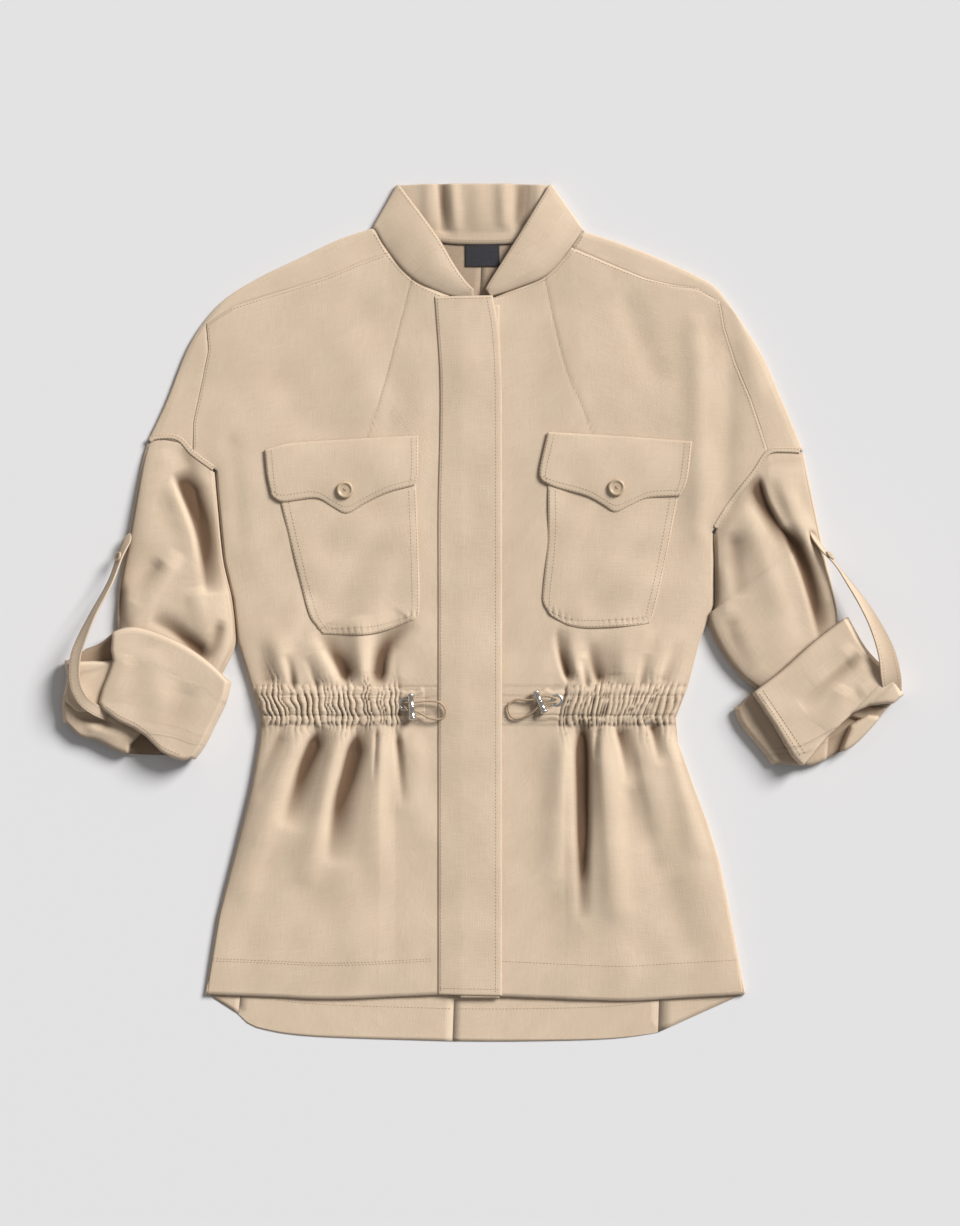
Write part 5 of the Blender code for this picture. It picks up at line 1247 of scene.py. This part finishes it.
# ---- Placket -------------------------------------------------------------------------------------------
# A straight covered strip of doubled linen over the closure, stitched along both edges, and the narrow lap
# under it that carries the hidden fastening.
UNDERLAP_EDGES = (((-20, -328), (14, -328)), ((-20, 260), (14, 260)), ((-20, -328), (-20, 260)),
                  ((14, -328), (14, 260)))
PLACKET_EDGES = (
    ((-38, -325), (16, -326)), ((-41, 267), (8, 268)),
    ((-38, -325), (-38, -200), (-38, -80), (-38, 20), (-38, 90), (-36.5, 150), (-36.5, 200), (-39, 240),
     (-41, 267)),
    ((16, -326), (16, -200), (16, -80), (16, 20), (16, 90), (16, 150), (15.5, 200), (13, 240), (8, 268)),
)


def to_edges(count, pull=0.7):
    """Shares from 0 to 1 that crowd towards both ends, as a blend of even and cosine spacing."""
    t = np.linspace(0, 1, count)
    return (1 - pull) * t + pull * (0.5 - 0.5 * np.cos(math.pi * t))


def either_front(x, y):
    """Height of whichever front lies at this place, without its gathers."""
    left, right = body_height("left", x, y, False), body_height("right", x, y, False)
    return np.where(x < FRONT_EDGE["right"], left, right)


def rim_drop(rows_at, columns_at, plan, drop, reach=2.2):
    """How far a piece's rounded edge falls: the drop at its border, nothing from reach inwards."""
    width = np.linalg.norm(plan[:, -1] - plan[:, 0], axis=1)[:, None]
    length = np.linalg.norm(plan[-1] - plan[0], axis=1)[None]
    near = np.minimum(np.minimum(columns_at, 1 - columns_at)[None] * width,
                      np.minimum(rows_at, 1 - rows_at)[:, None] * length)
    return drop * (1 - rounded(near, reach))


def overlay(name, edges, columns, rows, lift, puff, drop, floor_of):
    """A piece that lies on others: their height, moved out, fuller in the middle and rolled at its rim."""
    u, v = to_edges(columns), to_edges(rows)
    plan = patch(*edges, u, v)
    z = floor_of(plan[..., 0], plan[..., 1]) + lift
    bulge = (np.sin(math.pi * v)[:, None] * np.sin(math.pi * u)[None]) ** 0.7
    z = z + puff * bulge - rim_drop(v, u, plan, drop)
    grid = np.dstack([plan, z])
    return shell(name, [grid], linen, TRIM_WALL, flip=True), grid


lap_lift = WALL / 2 + LAY_GAP + TRIM_WALL / 2
lap, _ = overlay("closure_underlap", UNDERLAP_EDGES, 10, 80, lap_lift, 0, 0.2, either_front)
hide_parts("underlap")
placket_lift = lap_lift + TRIM_WALL + LAY_GAP
# The strip sinks towards its free left edge, past the edge of the lap under it
PLACKET_SINK, SINK_FROM, SINK_WIDTH = 1.2, -18, 20
placket, grid = overlay("placket_strip", PLACKET_EDGES, 36, 240, placket_lift, 0.3, 0.7,
                        lambda x, y: either_front(x, y)
                        - PLACKET_SINK * np.clip((SINK_FROM - x) / SINK_WIDTH, 0, 1))
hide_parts("placket")
for edge, inset, start, end in (("left", 2.4, 0.012, 0.995), ("right", 5.4, 0.012, 0.995),
                                ("foot", 5.6, 0.06, 0.9),
                                ("top", 2.2, 0.06, 0.94)):
    stitched("placket", inset_line(grid, edge, inset, start, end), TRIM_WALL / 2)

# ---- Chest pockets -------------------------------------------------------------------------------------
# Tapered patch pockets with rounded feet, double stitched, under flaps that end in a low point with one
# horn button each.
POCKET = {
    "left": (((-136, -19), (-113, -20), (-89, -18), (-58, -7)), ((-176, 112), (-117, 112), (-57, 112)),
             ((-136, -19), (-141, -12), (-148, 0), (-160, 45), (-176, 112)),
             ((-58, -7), (-54, 4), (-55, 62), (-57, 112))),
    "right": (((57, -3), (71, -11), (90, -14), (126, -12), (141, -10)), ((55, 112), (110, 112), (168, 112)),
              ((57, -3), (51, 8), (51, 20), (55, 62), (55, 112)),
              ((141, -10), (145, 0), (155, 43), (168, 112))),
}
FLAP = {
    "left": (((-179, 98), (-169, 93), (-142, 96), (-127, 88), (-115, 83), (-99, 92), (-80, 101), (-58, 107)),
             ((-185, 137), (-160, 143), (-97, 147), (-55, 149)),
             ((-179, 98), (-183, 116), (-185, 137)), ((-58, 107), (-55, 118), (-55, 149))),
    "right": (((50, 111), (62, 105), (87, 98), (102, 90), (112, 84), (124, 89), (140, 96), (167, 98)),
              ((55, 152), (93, 150), (126, 148), (177, 144)),
              ((50, 111), (48, 120), (55, 152)), ((167, 98), (173, 112), (177, 144))),
}
pocket_lift = WALL / 2 + LAY_GAP + TRIM_WALL / 2
FLAP_PUFF = 1.5
# Puckers along the pockets' feet: their height, how far in they are centred, their reach and wavelength
PUCKER, PUCKER_PLACE, PUCKER_REACH, PUCKER_LENGTH = 0.4, 4.5, 2.8, 4.7
flap_lift = pocket_lift + TRIM_WALL + LAY_GAP + 0.6
for side in ("left", "right"):
    def front_floor(x, y, side=side):
        """Height of the front under the flap, without its gathers."""
        return body_height(side, x, y, False)

    def pocket_floor(x, y, side=side):
        """Height of the front under the pocket, with soft waves and short ripples along its foot."""
        away = distance_to(POCKET[side][0], x, y)
        ripples = np.sin(2 * math.pi * x / PUCKER_LENGTH
                         + 1.5 * np.sin(x / 7)) * (0.55 + 0.45 * np.sin(x / 9 + 1))
        return (body_height(side, x, y, False) + 0.7 * unevenness(x, y, 38, 9)
                + PUCKER * ripples * np.exp(-((away - PUCKER_PLACE) / PUCKER_REACH) ** 2))

    pocket, grid = overlay(f"patch_pocket_{side}", POCKET[side], 80, 80, pocket_lift, 1.6, 0.6, pocket_floor)
    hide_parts(f"pocket_{side}")
    for edge in ("left", "right", "foot"):
        for inset in (1.6, 6.6):
            stitched("pockets", inset_line(grid, edge, inset, inset / 110, 0.86), TRIM_WALL / 2)
    flap, grid = overlay(f"pocket_flap_{side}", FLAP[side], 90, 40, flap_lift, FLAP_PUFF, 0.8, front_floor)
    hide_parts(f"flap_{side}")
    for edge in ("left", "right", "foot"):
        for inset in (1.5, 6.0):
            stitched("pockets", inset_line(grid, edge, inset, inset / 110 if edge == "foot" else inset / 45,
                                           1 - inset / 110), TRIM_WALL / 2)

# ---- Roll-up straps ------------------------------------------------------------------------------------
# A narrow doubled strap is buttoned on each sleeve's outside, runs down in the open and tucks into the roll.
STRAP_WALL = 1.4
# Each strap's middle line, its lean in degrees and its width
TAB_PATH = {
    "left": ((-299, 66, 9, -30, 8), (-307, 48, 11.5, -56, 9.5), (-315, 25, 17, -62, 9.5),
             (-329, -2, 22, -56, 9.5),
             (-339, -24, 24, -36, 9.5), (-344, -40, 24.5, -20, 9.5), (-344, -60, 24.5, -12, 9.5),
             (-338, -74, 24, -6, 9.5), (-329, -82, 21, 0, 9.5), (-318, -88, 15, 0, 9)),
    "right": ((277, 68, 9, 40, 5), (287, 53, 13, 62, 7), (298, 40, 16, 78, 8), (308, 26, 18, 66, 9.5),
              (320, 8, 22, 50, 11), (331, -12, 24, 42, 14), (340, -34, 24, 30, 17), (344, -54, 23, 16, 18),
              (346, -68, 18, 6, 16)),
}
STRAP_ROWS, STRAP_COLUMNS = 130, 13
# Rows from the buttoned end and the share of the width there
STRAP_TIP = ((0, 2, 5, 8, 129), (0.1, 0.55, 0.85, 1, 1))
# How much painted shade browns each strap's lower part
STRAP_SHADE = {"left": 0.1, "right": 0.42}
TAB_BUTTON = {"left": (-309, 46), "right": (293, 47)}
tab_frames = {}
for side in ("left", "right"):
    path = spread(TAB_PATH[side], np.linspace(0, 1, STRAP_ROWS))
    along = np.gradient(path[:, :3], axis=0)
    along /= np.linalg.norm(along, axis=1)[:, None]
    level = np.cross(along, [0, 0, 1.0])
    level /= np.linalg.norm(level, axis=1)[:, None]
    lean = np.radians(path[:, 3])[:, None]
    across = np.cos(lean) * level + np.sin(lean) * np.cross(level, along)
    half = path[:, 4] / 2 * np.interp(np.arange(STRAP_ROWS), *STRAP_TIP)
    share = to_edges(STRAP_COLUMNS)
    band = path[:, None, :3] + across[:, None] * half[:, None, None] * (share[None, :, None] * 2 - 1)
    run = np.linspace(0, 1, STRAP_ROWS)[:, None]
    shaded = STRAP_SHADE[side] * (np.clip((run - 0.3) / 0.3, 0, 1) * np.clip(1.2 - share[None], 0, 1))
    strap = shell(f"roll_up_strap_{side}", [band], linen, STRAP_WALL, flip=True, troughs=[shaded])
    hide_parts(f"tab_{side}")
    tab_frames[side] = (path, across)

# ---- Buttons -------------------------------------------------------------------------------------------
# Turned horn buttons in a warm sand colour, with a raised rim and four holes, sewn with a cross of thread.
horn, horn_shader = new_material("horn")
horn_tree = horn.node_tree
horn_place = node(horn_tree, "ShaderNodeTexCoord")
horn_map = node(horn_tree, "ShaderNodeMapping",
                {"Vector": horn_place.outputs["Object"], "Scale": (120.0, 420.0, 120.0)})
horn_grain = node(horn_tree, "ShaderNodeTexNoise",
                  {"Vector": horn_map.outputs[0], "Scale": 1.0, "Detail": 4.0})
horn_tint = tint_between(horn_tree, horn_grain.outputs[0], (0.40, 0.29, 0.18), (0.66, 0.52, 0.36))
horn_tree.links.new(horn_tint, horn_shader.inputs["Base Color"])
horn_bump = node(horn_tree, "ShaderNodeBump",
                 {"Height": horn_grain.outputs[0], "Distance": 0.00006, "Strength": 0.6})
horn_tree.links.new(horn_bump.outputs[0], horn_shader.inputs["Normal"])
horn_shader.inputs["Roughness"].default_value = 0.36
thread, thread_shader = new_material("thread")
thread_tree = thread.node_tree
thread_place = node(thread_tree, "ShaderNodeTexCoord")
thread_noise = node(thread_tree, "ShaderNodeTexNoise",
                    {"Vector": thread_place.outputs["Object"], "Scale": 700.0})
# Thread: partly its own sand tone, darkened as painted shade of needle holes and grooves; the buttons'
# crossed threads share it
thread_tint = tint_between(thread_tree, thread_noise.outputs[0], (0.27, 0.195, 0.125), (0.47, 0.355, 0.245))
thread_tree.links.new(thread_tint, thread_shader.inputs["Base Color"])
thread_shader.inputs["Roughness"].default_value = 0.6
BUTTON_RADIUS, BUTTON_HEIGHT = 7.2, 2.8
TAB_BUTTON_RADIUS, TAB_BUTTON_HEIGHT = 4.6, 2.0
# Shares of a button's radius and height, and the least radius at a turned piece's axis
HOLE_RADIUS, HOLE_PLACE = 0.085, 0.2
DISH = 0.62
AXIS = 0.001
BUTTON_PROFILE = ((AXIS, DISH), (0.55, DISH), (0.62, 0.66), (0.7, 0.9), (0.78, 1.0), (0.88, 0.97),
                  (0.96, 0.8),
                  (1.0, 0.5), (0.95, 0.2), (0.85, 0.03), (0.7, 0.0), (AXIS, 0.0))
CROSS_RADIUS, CROSS_RISE, CROSS_FALL = 0.34, 0.25, 0.5
FLAP_BUTTON = {"left": (-117, 103), "right": (113, 105)}


def turned(profile, steps):
    """A profile of (radius, height) carried round its own z axis, as a closed grid."""
    angle = np.linspace(0, 2 * math.pi, steps, endpoint=False)
    radius, height = np.asarray(profile, float).T
    return np.dstack([radius[:, None] * np.cos(angle), radius[:, None] * np.sin(angle),
                      np.broadcast_to(height[:, None], (len(radius), steps))])


def seated(grid, place, tilt=0.0, lean=0.0):
    """The grid tilted about x, then leaned about z, and set at its place."""
    x, y, z = np.moveaxis(grid, -1, 0)
    y, z = y * math.cos(tilt) - z * math.sin(tilt), y * math.sin(tilt) + z * math.cos(tilt)
    x, y = x * math.cos(lean) - y * math.sin(lean), x * math.sin(lean) + y * math.cos(lean)
    return np.dstack([x, y, z]) + np.asarray(place, float)


def framed(grid, place, normal, first):
    """The grid with z along the normal and x near the first direction, set at its place."""
    normal = normal / np.linalg.norm(normal)
    second = np.cross(normal, first)
    second /= np.linalg.norm(second)
    return grid @ np.array([np.cross(second, normal), second, normal]) + place


def piece(name, grids, material, slot):
    """A closed hard piece from turned grids, riding on the one body."""
    obj = linked(name, mesh_of(name, grids, material, closed=True, weld=True))
    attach(obj, "root")
    return obj


def cut_out(obj, grid, material):
    """Takes a closed grid's volume out of a piece with an exact Boolean."""
    cutter = linked("cutter", mesh_of("cutter", [grid], material, closed=True, weld=True))
    cut = obj.modifiers.new("cut", "BOOLEAN")
    cut.operation, cut.solver, cut.object = "DIFFERENCE", "EXACT", cutter
    bpy.context.view_layer.objects.active = obj
    bpy.ops.object.modifier_apply(modifier=cut.name)
    bpy.data.objects.remove(cutter)


def make_button(name, node_name, place, radius, height, normal=(0.0, 0.0, 1.0)):
    """A dished button on a surface: a raised rim, four holes through the dish and crossed threads."""
    place, normal, first = np.asarray(place, float), np.asarray(normal, float), np.array([1.0, 0, 0])
    grid = turned([(r * radius, z * height) for r, z in BUTTON_PROFILE], 48)
    button = piece(name, [framed(grid, place, normal, first)[::-1]], horn, "buttons")
    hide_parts(node_name)
    reach = radius * HOLE_PLACE * math.sqrt(2)
    bore = HOLE_RADIUS * radius
    for angle in np.radians([45, 135, 225, 315]):
        hole = turned([(AXIS, height), (bore, height), (bore, -height), (AXIS, -height)], 16)
        hole = hole + np.array([reach * math.cos(angle), reach * math.sin(angle), height / 2])
        cut_out(button, framed(hole, place, normal, first)[::-1], horn)
    strands = []
    for angle in (math.radians(45), math.radians(135)):
        t = np.linspace(-1, 1, 9)[:, None]
        way = np.array([math.cos(angle), math.sin(angle), 0]) * radius * HOLE_PLACE * math.sqrt(2)
        arch = np.array([0, 0, 1.0]) * (height * DISH + CROSS_RISE - CROSS_FALL * t ** 4)
        strands.append(tube(framed(t * way + arch, place, normal, first), CROSS_RADIUS, 8))
    piece(f"{name}_thread", strands, thread, "linen")


for side in ("left", "right"):
    x, y = FLAP_BUTTON[side]
    seat = float(body_height(side, np.array([x]), np.array([y]),
                             False)[0]) + flap_lift + TRIM_WALL / 2 + FLAP_PUFF
    make_button(f"flap_button_{side}_horn", f"flap_button_{side}", (x, y, seat), BUTTON_RADIUS,
                BUTTON_HEIGHT)
    path, across = tab_frames[side]
    x, y = TAB_BUTTON[side]
    near = int(np.argmin(np.hypot(path[:, 0] - x, path[:, 1] - y)))
    face = np.cross(across[near], np.gradient(path[:, :3], axis=0)[near])
    face *= np.sign(face[2]) / np.linalg.norm(face)
    make_button(f"strap_button_{side}_horn", f"tab_button_{side}",
                path[near, :3] + face * (STRAP_WALL / 2 + 0.1),
                TAB_BUTTON_RADIUS, TAB_BUTTON_HEIGHT, face)

# ---- Metal ---------------------------------------------------------------------------------------------
# Polished nickel: a rolled eyelet at each end of the casing and, on each cord, a spring barrel with flared
# ends and two cross holes.
nickel, nickel_shader = new_material("polished_nickel")
nickel_tree = nickel.node_tree
nickel_place = node(nickel_tree, "ShaderNodeTexCoord")
nickel_noise = node(nickel_tree, "ShaderNodeTexNoise",
                    {"Vector": nickel_place.outputs["Object"], "Scale": 260.0, "Detail": 5.0})
nickel_rough = node(nickel_tree, "ShaderNodeMapRange",
                    {"Value": nickel_noise.outputs[0], "From Min": 0.3, "From Max": 0.7, "To Min": 0.14,
                     "To Max": 0.3})
nickel_tree.links.new(nickel_rough.outputs[0], nickel_shader.inputs["Roughness"])
nickel_tint = tint_between(nickel_tree, nickel_noise.outputs[0], (0.70, 0.66, 0.61), (0.84, 0.82, 0.79))
nickel_tree.links.new(nickel_tint, nickel_shader.inputs["Base Color"])
nickel_shader.inputs["Metallic"].default_value = 1.0
EYELET_PLACE = {"left": (-66.5, -79), "right": (62.5, -75.5)}
EYELET_RADIUS, EYELET_HOLE, EYELET_HEIGHT = 5.6, 2.9, 1.6
LOCK_RADIUS, LOCK_FLARE, LOCK_HOLE = 2.6, 3.4, 1.45
BORE = 6.0
CORD_LOCK = {
    "left": {"place": (-60.5, -80.5, 13.4), "length": 22, "lean": 4, "holes": (3.5, -3.5)},
    "right": {"place": (48.3, -76.5, 13.4), "length": 20, "lean": 23, "holes": (3.6, -3.6)},
}
for side in ("left", "right"):
    x, y = EYELET_PLACE[side]
    seat = float(body_height(side, np.array([x]), np.array([y]), False)[0]) + WALL / 2 + 0.1
    section = np.linspace(0, 2 * math.pi, 20)[:-1]
    middle, half = (EYELET_RADIUS + EYELET_HOLE) / 2, (EYELET_RADIUS - EYELET_HOLE) / 2
    profile = np.column_stack([middle + half * np.cos(section), EYELET_HEIGHT / 2 * (1 + np.sin(section))])
    profile = np.vstack([profile, profile[:1]])
    eyelet = piece(f"eyelet_ring_{side}", [seated(turned(profile, 48), (x, y, seat))], nickel, "metal")
    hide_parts(f"eyelet_{side}")
    table = CORD_LOCK[side]
    half, lean = table["length"] / 2, math.radians(table["lean"])
    end = [(AXIS, half + 0.5), (1.2, half + 0.35), (LOCK_FLARE * 0.8, half), (LOCK_FLARE, half - 0.6),
           (LOCK_FLARE, half - 1.9), (LOCK_FLARE * 0.9, half - 2.4), (LOCK_RADIUS, half - 2.8),
           (LOCK_RADIUS, 0.5), (LOCK_RADIUS + 0.35, 0.3)]
    outline = end + [(radius, -height) for radius, height in reversed(end)]
    barrel = seated(turned(outline, 40), table["place"], math.pi / 2, lean)
    lock = piece(f"spring_barrel_{side}", [barrel[::-1]], nickel, "metal")
    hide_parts(f"cord_lock_{side}")
    for along in table["holes"]:
        bore = turned([(AXIS, BORE), (LOCK_HOLE, BORE), (LOCK_HOLE, -BORE), (AXIS, -BORE)], 20)
        bore = np.dstack([bore[..., 2], bore[..., 1], -bore[..., 0]])
        x, y, z = table["place"]
        centre = (x - math.sin(lean) * along, y + math.cos(lean) * along, z)
        cut_out(lock, seated(bore, centre, 0.0, lean)[::-1], nickel)

# ---- Topstitching --------------------------------------------------------------------------------------
# Every row is lockstitch, about three stitches to the centimetre, in a sand thread made darker than the
# cloth as painted shade of the needle holes and the stitches' small grooves. A stitch is a short rounded
# thread that dips into the cloth at both ends.
STITCH_RINGS = np.array([-1.0, -0.55, 0.0, 0.55, 1.0])
STITCH_SIDES = 4
STITCH_DIP = 0.22
STRAP_SEAM = 0.34
for side in ("left", "right"):
    path, across = tab_frames[side]
    for offset in (-STRAP_SEAM, STRAP_SEAM):
        stitched("straps", path[6:, :3] + across[6:] * path[6:, 4:5] * offset, STRAP_WALL / 2)
for group, lines in stitch_lines.items():
    starts = np.vstack([line[:-1] for line in lines])
    ends = np.vstack([line[1:] for line in lines])
    middle, way = (starts + ends) / 2, ends - starts
    way /= np.linalg.norm(way, axis=1)[:, None]
    level = np.cross(way, [0, 0, 1.0])
    level /= np.linalg.norm(level, axis=1)[:, None]
    raised = np.cross(level, way)
    size = THREAD_RADIUS * np.sqrt(np.clip(1.04 - STITCH_RINGS ** 2, 0, 1))
    angle = np.linspace(0, 2 * math.pi, STITCH_SIDES, endpoint=False) + math.pi / 4
    grid = (middle[:, None, None]
            + way[:, None, None] * (STITCH_RINGS * STITCH_LENGTH / 2)[None, :, None, None]
            + level[:, None, None] * (size[:, None] * np.cos(angle))[None, ..., None]
            + raised[:, None, None] * (size[:, None] * np.sin(angle)
                                       - STITCH_DIP * STITCH_RINGS[:, None] ** 2)[None, ..., None])
    count = len(middle)
    rings = len(STITCH_RINGS)
    index = np.arange(count * rings * STITCH_SIDES).reshape(count, rings, STITCH_SIDES)
    around = np.roll(index, -1, axis=2)
    quads = np.stack([index[:, :-1], index[:, 1:], around[:, 1:], around[:, :-1]], axis=-1).reshape(-1, 4)
    caps = np.concatenate([index[:, 0], index[:, -1, ::-1]])
    mesh = bpy.data.meshes.new(f"topstitch_{group}")
    mesh.from_pydata(((grid.reshape(-1, 3) + LAID_SHIFT) * MM), [],
                     np.vstack([quads[:, ::-1], caps[:, ::-1]]))
    mesh.materials.append(thread)
    mesh.shade_smooth()
    rows_of_thread = linked(f"topstitch_{group}", mesh)
    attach(rows_of_thread, "root")

# ---- Cut of the cloth ----------------------------------------------------------------------------------
# Every cloth piece with its width and length as cut, its flat area, how it is held and what it lies on. The
# loop below does nothing with this table.
for name, width, length, area, held, under in (
    ("front_panel", 0.250, 0.640, 0.140, "gathered", ("back_panel_",)),
    ("back_panel", 0.270, 0.700, 0.160, "laid", ("floor",)),
    ("sleeve_cloth", 0.200, 0.210, 0.036, "laid", ("floor",)),
    ("rolled_cuff", 0.260, 0.120, 0.026, "folded", ("floor",)),
    ("patch_pocket", 0.124, 0.132, 0.0142, "laid", ("front_panel_",)),
    ("pocket_flap", 0.134, 0.066, 0.0066, "laid", ("patch_pocket_",)),
    ("roll_up_strap", 0.014, 0.190, 0.0022, "hung", ("sleeve_cloth_", "rolled_cuff_")),
):
    for side in ("left", "right"):
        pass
